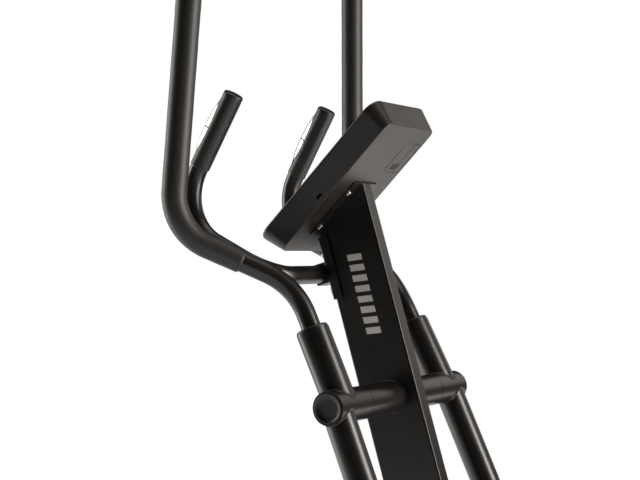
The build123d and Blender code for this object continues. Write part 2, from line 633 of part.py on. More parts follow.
# ---------------------------------------------------------------- base frame
def make_frame():
    centre = Vector(crank_x, 0, CRANK_HEIGHT)
    front, rear = front_x + TUBE_RADIUS, rear_x - TUBE_RADIUS
    half = RAIL_WIDTH / 2
    rail = block((rear, front), (-half, half), (rail_bottom, rail_top))
    rail = fillet(rail.edges().filter_by(Axis.X), 4)
    inner = half - RAIL_WALL
    rail -= block((rear - 1, front + 1), (-inner, inner), (rail_bottom + RAIL_WALL, rail_top - RAIL_WALL))
    frame = rail
    cheek_half = half + 6
    for tube_x in (front_x, rear_x):
        width = (tube_x - TUBE_RADIUS, tube_x + TUBE_RADIUS)
        cheek = block(width, (-cheek_half, cheek_half), (TUBE_CENTRE + 8, rail_bottom))
        saddle = Vector(tube_x, 0, TUBE_CENTRE)
        tube = cross_rod(saddle, -cheek_half - 1, cheek_half + 1, TUBE_RADIUS + RUN_GAP)
        frame += cheek - tube

    stub_inset = MAST_WALL + STUB_GAP
    foot = -(PIVOT_HEIGHT - rail_top) / cos(lean)
    stub = mast_length(mast_section(stub_inset), foot - 60, foot + STUB_LENGTH)
    stub -= mast_length(mast_section(stub_inset + RAIL_WALL), foot - 61, foot + STUB_LENGTH + 1)
    frame += above_rail(stub, 0)

    post = block((crank_x - 30, crank_x + 30), (-15, 15), (rail_top, CRANK_HEIGHT))
    shell_half = FLYWHEEL_WIDTH * 2 / 3
    post += cross_rod(centre, -shell_half, shell_half, 28)
    post -= block((crank_x - 27, crank_x + 27), (-12, 12), (rail_top + 3, CRANK_HEIGHT - 30))
    post -= cross_rod(centre, -shell_half - 1, shell_half + 1, 23.5)
    frame += post

    right_plate, left_plate = dropout_planes()
    foot_height = 6.0
    foot_half = 34.0
    foot_levels = (rail_top, rail_top + foot_height)
    foot_width = (right_plate - SHEET, left_plate + SHEET)
    frame += block((flywheel_x - foot_half, flywheel_x + foot_half), foot_width, foot_levels)
    axle = Vector(flywheel_x, 0, FLYWHEEL_HEIGHT)
    outline = round_link((axle.X, axle.Z), 20, (axle.X, rail_top + foot_half), foot_half)
    for low, high in ((right_plate - SHEET, right_plate), (left_plate, left_plate + SHEET)):
        frame += slab(outline, low, high) - cross_rod(axle, low - 1, high + 1, FLYWHEEL_AXLE_RADIUS)
    place = brake_pivot()
    right = -FLYWHEEL_WIDTH * 2 / 3 + 2
    left = right + FLYWHEEL_WIDTH - 4
    for y_from, y_to in ((right - 4.5, right - 0.5), (left + 0.5, left + 4.5)):
        ear = round_link((place.X, place.Z), 8, (place.X + 8, rail_top + 6), 12)
        frame += above_rail(slab(ear, y_from, y_to), -1) - cross_rod(place, y_from - 1, y_to + 1, 4)
    save("main_frame", frame)

    plugs = []
    for end, direction in ((front, 1), (rear, -1)):
        plate = block((end, end + direction * 4), (-half, half), (rail_bottom, rail_top))
        plate = fillet(plate.edges().filter_by(Axis.X), 4)
        depth = 12
        core = block(
            (end - direction * depth, end), (-inner + 0.2, inner - 0.2),
            (rail_bottom + RAIL_WALL + 0.2, rail_top - RAIL_WALL - 0.2),
        )
        plugs.append(plate + core)
    pin = cross_rod(place, right - 6, left + 6, 4)
    save("rail_plugs", plugs)
    bearings = []
    for sign in (-1, 1):
        near, far = sign * (shell_half - 13), sign * (shell_half - 1)
        ring = cross_rod(centre, near, far, 23.5 - RUN_GAP)
        bearings.append(ring - cross_rod(centre, near - sign, far + sign, AXLE_RADIUS + RUN_GAP))
    save("crank_bearings", bearings)

    bolts = [pin]
    down = Vector(0, 0, -1)
    for tube_x in (front_x, rear_x):
        for across in STABILIZER_BOLTS:
            start = Vector(tube_x, across, rail_top)
            bolts.append(dome_bolt(start, down, 9, RAIL_HEIGHT + 12, BOLT_RADIUS))
            end = Vector(tube_x, across, TUBE_CENTRE)
            parts["main_frame"] -= rod(start + Vector(0, 0, 1), end, BOLT_HOLE)
    for level in (foot + 70, foot + 140):
        bolt_place = (mast_plane * Pos(0, 0, level)).position
        hole = cross_rod(bolt_place, -MAST_WIDTH, MAST_WIDTH, BOLT_HOLE)
        parts["main_frame"] -= hole
        parts["mast"] -= hole
        for sign in (-1, 1):
            start = Vector(bolt_place.X, sign * MAST_WIDTH / 2, bolt_place.Z)
            bolts.append(dome_bolt(start, Vector(0, -sign, 0), 8, MAST_WIDTH / 2 - 3, BOLT_RADIUS))
    save("frame_bolts", bolts)


def make_stabilizers():
    bore = TUBE_RADIUS - 2
    wheel_axles = []
    for name, tube_x in (("front", front_x), ("rear", rear_x)):
        centre = Vector(tube_x, 0, TUBE_CENTRE)
        tube = cross_rod(centre, -TUBE_HALF, TUBE_HALF, TUBE_RADIUS)
        tube -= cross_rod(centre, -TUBE_HALF, TUBE_HALF, bore)
        for across in STABILIZER_BOLTS:
            tube -= rod(Vector(tube_x, across, TUBE_CENTRE), Vector(tube_x, across, rail_top), BOLT_HOLE)
        save(f"{name}_stabilizer", tube)
        caps = []
        for sign in (-1, 1):
            inside = sign * (TUBE_HALF - CAP_LENGTH + 12)
            outside = sign * (TUBE_HALF + 12)
            cap = cross_rod(centre, inside, outside, CAP_RADIUS)
            cap += block((tube_x - CAP_FOOT, tube_x + CAP_FOOT), (inside, outside), (0, TUBE_CENTRE))
            cap = fillet(top_edge(cap, Vector(0, sign, 0)), 3)
            if name == "front":
                place = front_wheel()
                middle = sign * (TUBE_HALF - WHEEL_INSET)
                half = WHEEL_WIDTH / 2
                lug = round_link(
                    (tube_x, TUBE_CENTRE), CAP_RADIUS * 0.6, (place.X, place.Z), WHEEL_RADIUS * 0.45
                )
                for face in (middle - half - 4, middle + half + 4):
                    cap += slab(lug, face - 2.5, face + 2.5)
                cap -= cross_rod(place, middle - half - 1.5, middle + half + 1.5, WHEEL_RADIUS + 2)
                cap -= cross_rod(place, inside, outside, WHEEL_AXLE_RADIUS)
                half += 7
                wheel_axles.append(cross_rod(place, middle - half, middle + half, WHEEL_AXLE_RADIUS))
            cap -= cross_rod(centre, inside - sign, sign * TUBE_HALF, TUBE_RADIUS)
            caps.append(cap)
        save(f"{name}_end_caps", caps)
    parts["frame_bolts"] = Compound(children=list(parts["frame_bolts"].children) + wheel_axles)
    for side, sign in SIDES.items():
        place = front_wheel()
        middle = sign * (TUBE_HALF - WHEEL_INSET)
        low, high = middle - WHEEL_WIDTH / 2, middle + WHEEL_WIDTH / 2
        wheel = cross_rod(place, low, high, WHEEL_RADIUS)
        wheel = fillet(wheel.edges().filter_by(GeomType.CIRCLE), 3)
        bore = cross_rod(place, low - 1, high + 1, WHEEL_AXLE_RADIUS + RUN_GAP)
        save(f"transport_wheel_{side}", wheel - bore)


def front_wheel():
    return Vector(front_x + WHEEL_AHEAD, 0, WHEEL_RADIUS + WHEEL_LIFT)


# ---------------------------------------------------------------- drive housing
def make_housing():
    def outline(inset):
        crank = (crank_x, CRANK_HEIGHT)
        wheel = (flywheel_x, FLYWHEEL_HEIGHT)
        shape = round_link(crank, HOUSING_CRANK_RADIUS - inset, wheel, HOUSING_FLYWHEEL_RADIUS - inset)
        left = crank_x - HOUSING_CRANK_RADIUS + 30 + inset
        right = flywheel_x + HOUSING_FLYWHEEL_RADIUS - 25 - inset
        under = rail_top - 40
        skirt = Polygon(
            (left, under), (right, under), (right, FLYWHEEL_HEIGHT - 60), (left, CRANK_HEIGHT - 60),
            align=None,
        )
        above = Rectangle(2000, 1000, align=(Align.CENTER, Align.MIN))
        floor = Pos((left + right) / 2, rail_top + 0.5) * above
        return (shape + skirt) & floor

    centre = Vector(crank_x, 0, CRANK_HEIGHT)
    for side, sign in SIDES.items():
        shell = slab(outline(0), sign * SHELL_GAP / 2, sign * HOUSING_HALF)
        flat = shell.faces().sort_by(Axis.Y)[-1 if sign > 0 else 0]
        rim = [edge for edge in flat.edges() if edge.center().Z > rail_top + 5]
        shell = fillet(rim, 10)
        inside = sign * (HOUSING_HALF - HOUSING_WALL)
        shell -= slab(outline(HOUSING_WALL), 0, inside)
        shell -= slab(Pos(crank_x, rail_top) * Rectangle(HOUSING_CRANK_RADIUS, 8), 0, inside)
        shell -= cross_rod(centre, 0, sign * (HOUSING_HALF + 1), AXLE_RADIUS + 4)
        save(f"housing_{side}", shell)


def make_brake_motor():
    low = Vector(crank_x + 30, 0, 200)
    case = block((low.X, low.X + 50), (-18, 16), (low.Z, low.Z + 60))
    case = fillet(case.edges().filter_by(Axis.X), 3)
    drum = cross_rod(Vector(low.X + 25, 0, low.Z + 40), -18, -26, 12)
    save("brake_motor", case + drum)


# ---------------------------------------------------------------- fixed handlebar
def bar_corners():
    middle = pivot + Vector(BAR_MAST[0], 0, BAR_MAST[1])
    half = []
    for sign in (-1, 1):
        half.append([
            pivot + Vector(BAR_HIGH[0], sign * BAR_HIGH[1], BAR_HIGH[2]),
            pivot + Vector(BAR_LOW[0], sign * BAR_LOW[1], BAR_LOW[2]),
            middle + Vector(0, sign * BAR_CORNER_OUT, 0),
        ])
    return half


def palm_swell(inset):
    """An ellipsoid round the middle of a grip, cut off on the side away from the user."""
    egg = scale(Sphere(1), by=tuple(half - inset for half in PULSE_BULGE))
    reach = 2 * PULSE_BULGE[2]
    user_side = Box(reach, reach, reach, align=(Align.MIN, Align.CENTER, Align.CENTER))
    return egg & Pos(PULSE_BULGE_START, 0, 0) * user_side


def make_handlebar():
    right, left = bar_corners()
    points = right + left[::-1]
    mast_bend, grip_bend = BAR_RADII
    bends = [grip_bend, mast_bend, mast_bend, grip_bend]
    save("fixed_handlebar", bent_tube(points, bends, BAR_RADIUS, BAR_RADIUS - BAR_WALL))
    grips, plates, caps = [], [], []
    for top, low, _ in (right, left):
        down = (low - top).normalized()
        start, end = top, top + down * PULSE_LENGTH
        shell = pipe(start, end, PULSE_RADIUS, BAR_RADIUS + GRIP_GAP)
        shell = fillet(shell.edges().filter_by(GeomType.CIRCLE).group_by(SortBy.RADIUS)[-1], 1.2)
        user = Plane(origin=start + down * PULSE_BULGE_PLACE, x_dir=(-1, 0, 0), z_dir=down)
        room = rod(start + down * PULSE_END, end - down * PULSE_END, 2 * PULSE_RADIUS)
        swell = (user * palm_swell(PULSE_SHEET + RUN_GAP) & room) - rod(start, end, BAR_RADIUS + GRIP_GAP)
        grips.append(shell + swell)
        sheet = user * (palm_swell(0) - palm_swell(PULSE_SHEET)) & room
        sheet -= rod(start, end, PULSE_RADIUS + RUN_GAP)
        plates += list((sheet - user * Box(4 * PULSE_RADIUS, 4 * PULSE_RADIUS, PULSE_BREAK)).solids())
        cap = rod(start, start - down * 5, PULSE_RADIUS)
        cap = fillet(top_edge(cap, down * -1), 3.5)
        caps.append(cap + rod(start, start + down * 14, BAR_RADIUS - BAR_WALL - GRIP_GAP))
    save("pulse_grips", grips)
    save("pulse_plates", plates)
    save("handlebar_caps", caps)


def make_bar_bracket():
    height = BRACKET_HIGH - BRACKET_LOW
    outer_half = MAST_WIDTH / 2 + BRACKET_SHEET
    rear = -MAST_BEHIND - BRACKET_SHEET
    depth = BRACKET_SHEET + BRACKET_WRAP
    channel = Box(depth, 2 * outer_half, height, align=(Align.MIN, Align.CENTER, Align.MIN))
    channel = fillet(channel.edges().filter_by(Axis.Z).sort_by(Axis.X)[:2], 3)
    slot = Box(60, MAST_WIDTH + 0.2, height + 2, align=(Align.MIN, Align.CENTER, Align.MIN))
    slot = Pos(BRACKET_SHEET, 0, -1) * slot
    bracket = mast_plane * Pos(rear, 0, BRACKET_LOW) * (channel - slot)
    middle = pivot + Vector(BAR_MAST[0], 0, BAR_MAST[1])
    saddle_half = 24.0
    reach = middle - (mast_plane * Pos(rear + 1, 0, 0)).position
    along = reach.dot(mast_up)
    saddle = mast_plane * Pos(rear + 1, 0, along) * Box(
        BAR_RADIUS * 1.6, 2 * saddle_half * 0.7, BAR_RADIUS * 2.3,
        align=(Align.MAX, Align.CENTER, Align.CENTER),
    )
    saddle -= cross_rod(middle, -saddle_half, saddle_half, BAR_RADIUS + RUN_GAP)
    bolts = []
    forward = mast_plane.x_dir
    for level in BOLT_LEVELS:
        for sign in (-1, 1):
            face = mast_plane.origin + forward * rear + mast_up * level + Vector(0, sign * BOLT_SPREAD, 0)
            hole = rod(face - forward, face + forward * (BRACKET_SHEET + MAST_WALL + 2), 3.2)
            bracket -= hole
            parts["mast"] -= hole
            bolts.append(dome_bolt(face, forward, 6.5, BRACKET_SHEET + MAST_WALL + 1.5, 3))
    save("handlebar_bracket", bracket + saddle)
    save("bracket_bolts", bolts)


# ---------------------------------------------------------------- console
def console_outline(inset):
    length = CONSOLE_TOP + CONSOLE_BOTTOM - 2 * inset
    outline = RectangleRounded(length, CONSOLE_WIDTH - 2 * inset, CONSOLE_CORNER - inset)
    return Pos((CONSOLE_TOP - CONSOLE_BOTTOM) / 2, 0) * outline


def console_case(inset, low, high):
    """The flared case from one depth to another, smaller than the outside by an inset."""
    flare = CONSOLE_FLARE / CONSOLE_DEPTH
    base = Pos(0, 0, low) * console_outline(inset - low * flare)
    return extrude(base, high - low, taper=-degrees(atan(flare)))


def jack_plane():
    """On the case's lower end face, square to it and facing in, in the console's own frame."""
    across, depth = JACK_PLACE
    flare = CONSOLE_FLARE / CONSOLE_DEPTH
    return Plane(origin=(-CONSOLE_BOTTOM - depth * flare, across, depth), z_dir=(1, 0, flare))


def make_console():
    wall = CONSOLE_WALL
    back_edge, front_edge = CONSOLE_EDGES
    back = console_case(0, 0, CONSOLE_SPLIT)
    back = fillet(back.faces().sort_by(Axis.Z)[0].edges(), back_edge)
    back -= console_case(wall, wall, CONSOLE_SPLIT + 1)
    along, across, length, width = BATTERY_DOOR
    door = Pos(along, across) * RectangleRounded(length, width, 4)
    opening = Pos(along, across) * RectangleRounded(length + 0.8, width + 0.8, 4.4)
    back -= extrude(Pos(0, 0, -1) * opening, wall + 2)
    lid = extrude(door, wall)
    for ridge in range(4):
        lid += Pos(along - length / 2 + 8 + ridge * 3, across, -0.5) * Box(1.2, width * 0.4, 1.0)

    front = console_case(0, CONSOLE_SPLIT + SHELL_GAP, CONSOLE_DEPTH)
    front = fillet(front.faces().sort_by(Axis.Z)[-1].edges(), front_edge)
    front -= console_case(wall, CONSOLE_SPLIT - 1, CONSOLE_DEPTH - wall)
    slot_place, slot_length, slot_depth = SNAP_SLOT
    front -= Pos(slot_place, 0, CONSOLE_SPLIT + SHELL_GAP) * Box(
        slot_length, 2 * CONSOLE_WIDTH, slot_depth, align=(Align.CENTER, Align.CENTER, Align.MIN)
    )

    mouth = jack_plane()
    front -= mouth * Cylinder(JACK_RADIUS, 20)
    inwards = (Align.CENTER, Align.CENTER, Align.MIN)
    jack = mouth * Pos(0, 0, 0.6) * Cylinder(JACK_RADIUS - 0.1, 14, align=inwards)
    jack -= mouth * Cylinder(3, 22)
    jack += mouth * Pos(0, 0, 0.6) * Cylinder(1, 13, align=inwards)
    jack += mouth * Pos(0, 0, 11) * Cylinder(JACK_RADIUS - 0.1, 3.6, align=inwards)
    save("power_jack", console_plane * jack)

    lens_along, lens_width, lens_height = LENS
    window = Rectangle(lens_height - 8, lens_width - 8)
    front -= extrude(Pos(lens_along, 0, CONSOLE_DEPTH - wall - 1) * window, wall + 2)
    seat = Pos(lens_along, 0, CONSOLE_DEPTH - LENS_THICKNESS)
    front -= extrude(seat * Rectangle(lens_height, lens_width), 3)
    lens = extrude(seat * Rectangle(lens_height - 0.3, lens_width - 0.3), LENS_THICKNESS)
    save("console_lens", console_plane * lens)
    size_along, size_across = BUTTON_SIZE[1], BUTTON_SIZE[0]
    for name, place in (("down", -1), ("mode", 0), ("up", 1)):
        across = -place * BUTTON_PITCH
        hole = RectangleRounded(size_along + 2 * BUTTON_GAP, size_across + 2 * BUTTON_GAP, 4 + BUTTON_GAP)
        front -= extrude(Pos(BUTTON_ALONG, across, CONSOLE_DEPTH - wall - 1) * hole, wall + 2)
        cap = extrude(
            Pos(BUTTON_ALONG, across, CONSOLE_DEPTH - wall - 1)
            * RectangleRounded(size_along, size_across, 4),
            wall + 1 + BUTTON_PROUD,
        )
        cap = fillet(cap.faces().sort_by(Axis.Z)[-1].edges(), 1)
        flange = RectangleRounded(size_along + 5, size_across + 5, 5)
        cap += extrude(Pos(BUTTON_ALONG, across, CONSOLE_DEPTH - wall - 2.5) * flange, 2.2)
        save(f"button_{name}", console_plane * cap)
    card = Rectangle(170, CONSOLE_WIDTH - 30)
    board = extrude(Pos(lens_along - 30, 0, CONSOLE_BOARD) * card, BOARD_THICKNESS)
    module = Rectangle(lens_height - 10, lens_width - 10)
    module = Pos(lens_along, 0, CONSOLE_BOARD + BOARD_THICKNESS / 2) * module
    board += extrude(module, CONSOLE_DEPTH - CONSOLE_BOARD - 2.5)
    save("console_board", console_plane * board)

    low, high = PLATE_ALONG
    plate = extrude(
        Pos((low + high) / 2, 0, -SHEET) * RectangleRounded(high - low, 2 * PLATE_HALF, 5), SHEET
    )
    screws = []
    for along in SCREW_ALONG:
        for sign in (-1, 1):
            place = Pos(along, sign * SCREW_SPREAD, -SHEET)
            hole = Pos(along, sign * SCREW_SPREAD, 0) * Cylinder(2.6, 14)
            plate -= hole
            back -= hole
            screw = place * Cylinder(2.5, SHEET + wall + 4, align=(Align.CENTER, Align.CENTER, Align.MIN))
            head = place * Cylinder(5, 3, align=(Align.CENTER, Align.CENTER, Align.MAX))
            head = fillet(head.faces().sort_by(Axis.Z)[0].edges(), 1.8)
            screws.append(console_plane * (screw + head))
    save("console_plate", console_plane * plate)
    save("console_screws", screws)
    save("console_back", console_plane * back)
    save("battery_door", console_plane * lid)
    save("console_front", console_plane * front)


# ---------------------------------------------------------------- build and write
make_mast()
make_pivot()
for arm_side in SIDES:
    make_swing_arm(arm_side)
    make_handle(arm_side)
    make_pedal(arm_side)
make_crank()
make_flywheel()
make_brake()
make_frame()
make_stabilizers()
make_housing()
make_brake_motor()
make_handlebar()
make_bar_bracket()
make_console()

os.makedirs("parts", exist_ok=True)
for node, shape in parts.items():
    export_step(shape, f"parts/{node}.step")
print(len(parts), "nodes; crank angle", round(degrees(crank_angle), 2), "pivot x", round(pivot_x, 2),
      "crank x", round(crank_x, 2))
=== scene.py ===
# %% [markdown]
# # An elliptical trainer, dressed for its portrait
# The machine arrives as a packed mechanical model: steel tubes, hinges, bolts and shells, each one a
# node. Blender never moves those nodes. It gives them their finishes and adds what a workshop adds
# last: weld beads, foam sleeves, anti-slip studs, screw recesses, printed marks and the display.

# %% Load the frame
import bpy
import bmesh
import json
from math import cos, pi, radians, sin, tan
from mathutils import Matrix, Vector


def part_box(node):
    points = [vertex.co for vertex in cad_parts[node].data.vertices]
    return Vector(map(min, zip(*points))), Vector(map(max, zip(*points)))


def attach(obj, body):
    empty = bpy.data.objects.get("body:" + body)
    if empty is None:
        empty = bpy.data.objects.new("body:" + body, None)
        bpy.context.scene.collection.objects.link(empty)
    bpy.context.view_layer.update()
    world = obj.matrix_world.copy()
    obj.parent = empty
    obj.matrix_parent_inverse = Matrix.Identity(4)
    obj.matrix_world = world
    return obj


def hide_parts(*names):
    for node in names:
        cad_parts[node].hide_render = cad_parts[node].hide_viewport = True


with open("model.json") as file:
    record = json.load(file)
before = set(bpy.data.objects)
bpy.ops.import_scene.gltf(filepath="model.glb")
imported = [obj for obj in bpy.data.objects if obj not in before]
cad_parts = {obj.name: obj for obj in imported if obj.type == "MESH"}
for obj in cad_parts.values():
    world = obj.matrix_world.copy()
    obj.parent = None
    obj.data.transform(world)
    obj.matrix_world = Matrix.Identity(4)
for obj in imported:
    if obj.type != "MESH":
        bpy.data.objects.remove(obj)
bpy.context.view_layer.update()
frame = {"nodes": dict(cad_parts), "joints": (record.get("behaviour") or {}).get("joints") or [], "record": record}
nodes = frame["nodes"]
joints = {joint["name"]: joint for joint in frame["joints"]}
MM = 0.001

# %% [markdown]
# Every place below is measured from something the frame knows. The axis of the mast pivot is the most
# useful landmark: the swing arms turn on it, and the console, the handlebar and the camera are all
# placed from it.

# %% Landmarks
PIVOT = Vector(joints["swing_right"]["pos_m"])
CRANK = Vector(joints["crank_turn"]["pos_m"])
FLYWHEEL = Vector(joints["flywheel_turn"]["pos_m"])
SIDES = {"right": -1, "left": 1}
print("pivot axis at", [round(value, 3) for value in PIVOT])

# %% [markdown]
# ## The studio
# A dark, satin object is drawn by what it reflects, not by its own colour. A tall softbox ahead of the
# machine and a little to its left puts a pale streak on every tube, a second one behind it rims the
# edges, and a dim room leaves the faces between them nearly black. The backdrop is bright only to the
# camera. The camera stands a little in front of the machine and to its right, at the height of the
# console.

# %% Camera
CAMERA_AZIMUTH = radians(29.84)
CAMERA_ELEVATION = radians(-0.52)
CAMERA_FROM_PIVOT = Vector((1.11196, -2.19205, 0.23842))
CAMERA_LENS = 82.68
SENSOR_WIDTH = 36.0

camera_data = bpy.data.cameras.new("camera")
camera_data.lens = CAMERA_LENS
camera_data.sensor_width = SENSOR_WIDTH
camera_data.clip_end = 100
camera = bpy.data.objects.new("camera", camera_data)
camera.location = PIVOT + CAMERA_FROM_PIVOT
camera.rotation_euler = (pi / 2 - CAMERA_ELEVATION, 0, CAMERA_AZIMUTH)
bpy.context.scene.collection.objects.link(camera)
bpy.context.scene.camera = camera

# %% Lights
LIGHTS = {
    # name: (place, size, watts)
    "softbox_front": ((3.6, 0.9, 1.6), (1.0, 3.4), 230),
    "softbox_rear": ((-3.4, -0.6, 1.6), (1.5, 3.4), 120),
    "fill_left": ((1.0, 3.8, 2.4), (2.2, 2.0), 14),
    "overhead": ((0.4, 0.4, 4.4), (2.4, 2.4), 40),
}
TARGET = Vector((0, 0, 1.1))
WARM = (1.0, 0.93, 0.87)       # the lamps' colour
for name, (place, size, watts) in LIGHTS.items():
    data = bpy.data.lights.new(name, "AREA")
    data.shape = "RECTANGLE"
    data.size, data.size_y = size
    data.energy = watts
    data.color = WARM
    lamp = bpy.data.objects.new(name, data)
    lamp.location = place
    lamp.rotation_euler = (TARGET - Vector(place)).to_track_quat("-Z", "Y").to_euler()
    bpy.context.scene.collection.objects.link(lamp)

BACKDROP = 1.0          # what the camera sees behind the machine
ROOM_GLOW = 0.035       # what the room gives the machine
world = bpy.data.worlds.new("studio")
world.use_nodes = True
sky = world.node_tree
ray = sky.nodes.new("ShaderNodeLightPath")
glow = sky.nodes.new("ShaderNodeMapRange")
glow.inputs["To Min"].default_value = ROOM_GLOW
glow.inputs["To Max"].default_value = BACKDROP
sky.links.new(ray.outputs["Is Camera Ray"], glow.inputs["Value"])
sky.nodes["Background"].inputs["Color"].default_value = (1, 1, 1, 1)
sky.links.new(glow.outputs[0], sky.nodes["Background"].inputs["Strength"])
bpy.context.scene.world = world
bpy.context.scene.view_settings.view_transform = "Standard"
print("lights:", len(LIGHTS))

# %% [markdown]
# ## Finishes
# Colours are written as the hex values a paint chart would give, and one function turns them to the
# linear numbers that the renderer works in. A second small function adds a node, sets it and wires it.

# %% Colour and node helpers
def linear(code, alpha=1.0):
    """An sRGB hex colour as linear red, green, blue and alpha."""
    channels = [int(code[start:start + 2], 16) / 255 for start in (1, 3, 5)]
    return (*[c / 12.92 if c <= 0.04045 else ((c + 0.055) / 1.055) ** 2.4 for c in channels], alpha)


def add(tree, kind, settings=(), **links):
    """Add a node, set its properties or input values, and link its named inputs."""
    node = tree.nodes.new(kind)
    for name, value in dict(settings).items():
        if hasattr(node, name):
            setattr(node, name, value)
        else:
            node.inputs[name].default_value = value
    for name, socket in links.items():
        tree.links.new(socket, node.inputs[name.replace("_", " ")])
    return node


def start_material(name, colour, roughness, metallic=0.0, **sockets):
    """A material with its shader's constant values set on the shader itself."""
    material = bpy.data.materials.new(name)
    material.use_nodes = True
    tree = material.node_tree
    shader = tree.nodes["Principled BSDF"]
    shader.inputs["Base Color"].default_value = linear(colour)
    shader.inputs["Roughness"].default_value = roughness
    shader.inputs["Metallic"].default_value = metallic
    for socket, value in sockets.items():
        shader.inputs[socket.replace("_", " ")].default_value = value
    coords = add(tree, "ShaderNodeTexCoord")
    return material, tree, shader, coords.outputs["Object"]


def per_metre(size_mm):
    """A noise scale whose features are about this many millimetres across."""
    return 1000.0 / size_mm


# %% [markdown]
# Most of the machine is mild steel tube under black powder coat. Baked powder flows into a skin with a
# faint orange peel, so its highlights are broad and a little uneven. The peel is about 1.5 mm across on
# the real thing; it is drawn at 2.5 mm to show at this distance, with a finer grit over it.

# %% Black powder coat
PEEL = 2.5
GRIT = 0.7


def black_powder_coat():
    material, tree, shader, place = start_material("black_powder_coat", "#0e0c0b", 0.36)
    peel = add(tree, "ShaderNodeTexNoise", {"Scale": per_metre(PEEL), "Detail": 2.0}, Vector=place)
    grit = add(tree, "ShaderNodeTexNoise", {"Scale": per_metre(GRIT), "Detail": 1.0}, Vector=place)
    both = add(tree, "ShaderNodeMath", {"operation": "ADD"})
    tree.links.new(peel.outputs["Fac"], both.inputs[0])
    tree.links.new(grit.outputs["Fac"], both.inputs[1])
    bump = add(tree, "ShaderNodeBump", {"Strength": 0.12, "Distance": 0.0004}, Height=both.outputs[0])
    cloud = add(tree, "ShaderNodeTexNoise", {"Scale": per_metre(60), "Detail": 3.0}, Vector=place)
    spread = add(
        tree, "ShaderNodeMapRange", {"To Min": 0.27, "To Max": 0.37}, Value=cloud.outputs["Fac"]
    )
    tree.links.new(spread.outputs[0], shader.inputs["Roughness"])
    tree.links.new(bump.outputs[0], shader.inputs["Normal"])
    return material


# %% [markdown]
# The mouldings come in several plastics. Their tools are spark eroded, which leaves a fine leather-like
# grain; one function makes them all, from the plastic's colour, gloss and grain size.

# %% Moulded plastics
def moulded_plastic(name, colour, roughness, grain, depth=0.25):
    material, tree, shader, place = start_material(name, colour, roughness)
    skin = add(tree, "ShaderNodeTexVoronoi", {"Scale": per_metre(grain), "Randomness": 1.0}, Vector=place)
    bump = add(
        tree, "ShaderNodeBump", {"Strength": depth, "Distance": 0.0003}, Height=skin.outputs["Distance"]
    )
    cloud = add(tree, "ShaderNodeTexNoise", {"Scale": per_metre(45), "Detail": 2.0}, Vector=place)
    spread = add(
        tree, "ShaderNodeMapRange",
        {"To Min": roughness - 0.05, "To Max": roughness + 0.06}, Value=cloud.outputs["Fac"],
    )
    tree.links.new(spread.outputs[0], shader.inputs["Roughness"])
    tree.links.new(bump.outputs[0], shader.inputs["Normal"])
    return material


# %% [markdown]
# The grips are closed-cell rubber foam with a moulded skin. The skin is satin, so a softbox still draws
# a broad streak on it, and the pores under it break the streak up. Two sizes of noise stand for pores
# and for lumps.

# %% Rubber foam
def rubber_foam():
    material, tree, shader, place = start_material("rubber_foam", "#0f0f0e", 0.5)
    pores = add(tree, "ShaderNodeTexVoronoi", {"Scale": per_metre(1.1)}, Vector=place)
    lumps = add(tree, "ShaderNodeTexNoise", {"Scale": per_metre(9), "Detail": 3.0}, Vector=place)
    height = add(tree, "ShaderNodeMath", {"operation": "ADD"})
    tree.links.new(pores.outputs["Distance"], height.inputs[0])
    tree.links.new(lumps.outputs["Fac"], height.inputs[1])
    bump = add(tree, "ShaderNodeBump", {"Strength": 0.2, "Distance": 0.0005}, Height=height.outputs[0])
    tint = add(tree, "ShaderNodeMix", {"data_type": "RGBA"})
    tint.inputs[6].default_value = linear("#0b0b0a")
    tint.inputs[7].default_value = linear("#151413")
    tree.links.new(lumps.outputs["Fac"], tint.inputs[0])
    tree.links.new(tint.outputs[2], shader.inputs["Base Color"])
    tree.links.new(bump.outputs[0], shader.inputs["Normal"])
    return material


# %% [markdown]
# Bare metals: ground shafts, bright zinc bolts, the brushed stainless sensor plates, the machined iron
# wheel and nickel on the magnets. Brushing is a noise stretched along one direction.

# %% Metals
def metal(name, colour, roughness, stretch=(1, 1, 1), line=1.0, depth=0.15):
    material, tree, shader, place = start_material(name, colour, roughness, metallic=1.0)
    mapping = add(tree, "ShaderNodeMapping", {"Scale": stretch}, Vector=place)
    lines = add(
        tree, "ShaderNodeTexNoise", {"Scale": per_metre(line), "Detail": 2.0}, Vector=mapping.outputs[0]
    )
    spread = add(
        tree, "ShaderNodeMapRange",
        {"To Min": roughness * 0.75, "To Max": roughness * 1.35}, Value=lines.outputs["Fac"],
    )
    bump = add(tree, "ShaderNodeBump", {"Strength": depth, "Distance": 0.0002}, Height=lines.outputs["Fac"])
    tree.links.new(spread.outputs[0], shader.inputs["Roughness"])
    tree.links.new(bump.outputs[0], shader.inputs["Normal"])
    return material


# %% [markdown]
# ## A finish for every node
# Each node of the machine says which finish it wants, as each real part goes to the powder line, the
# plating bath or the moulding shop. One table joins the names of those finishes to the materials above.

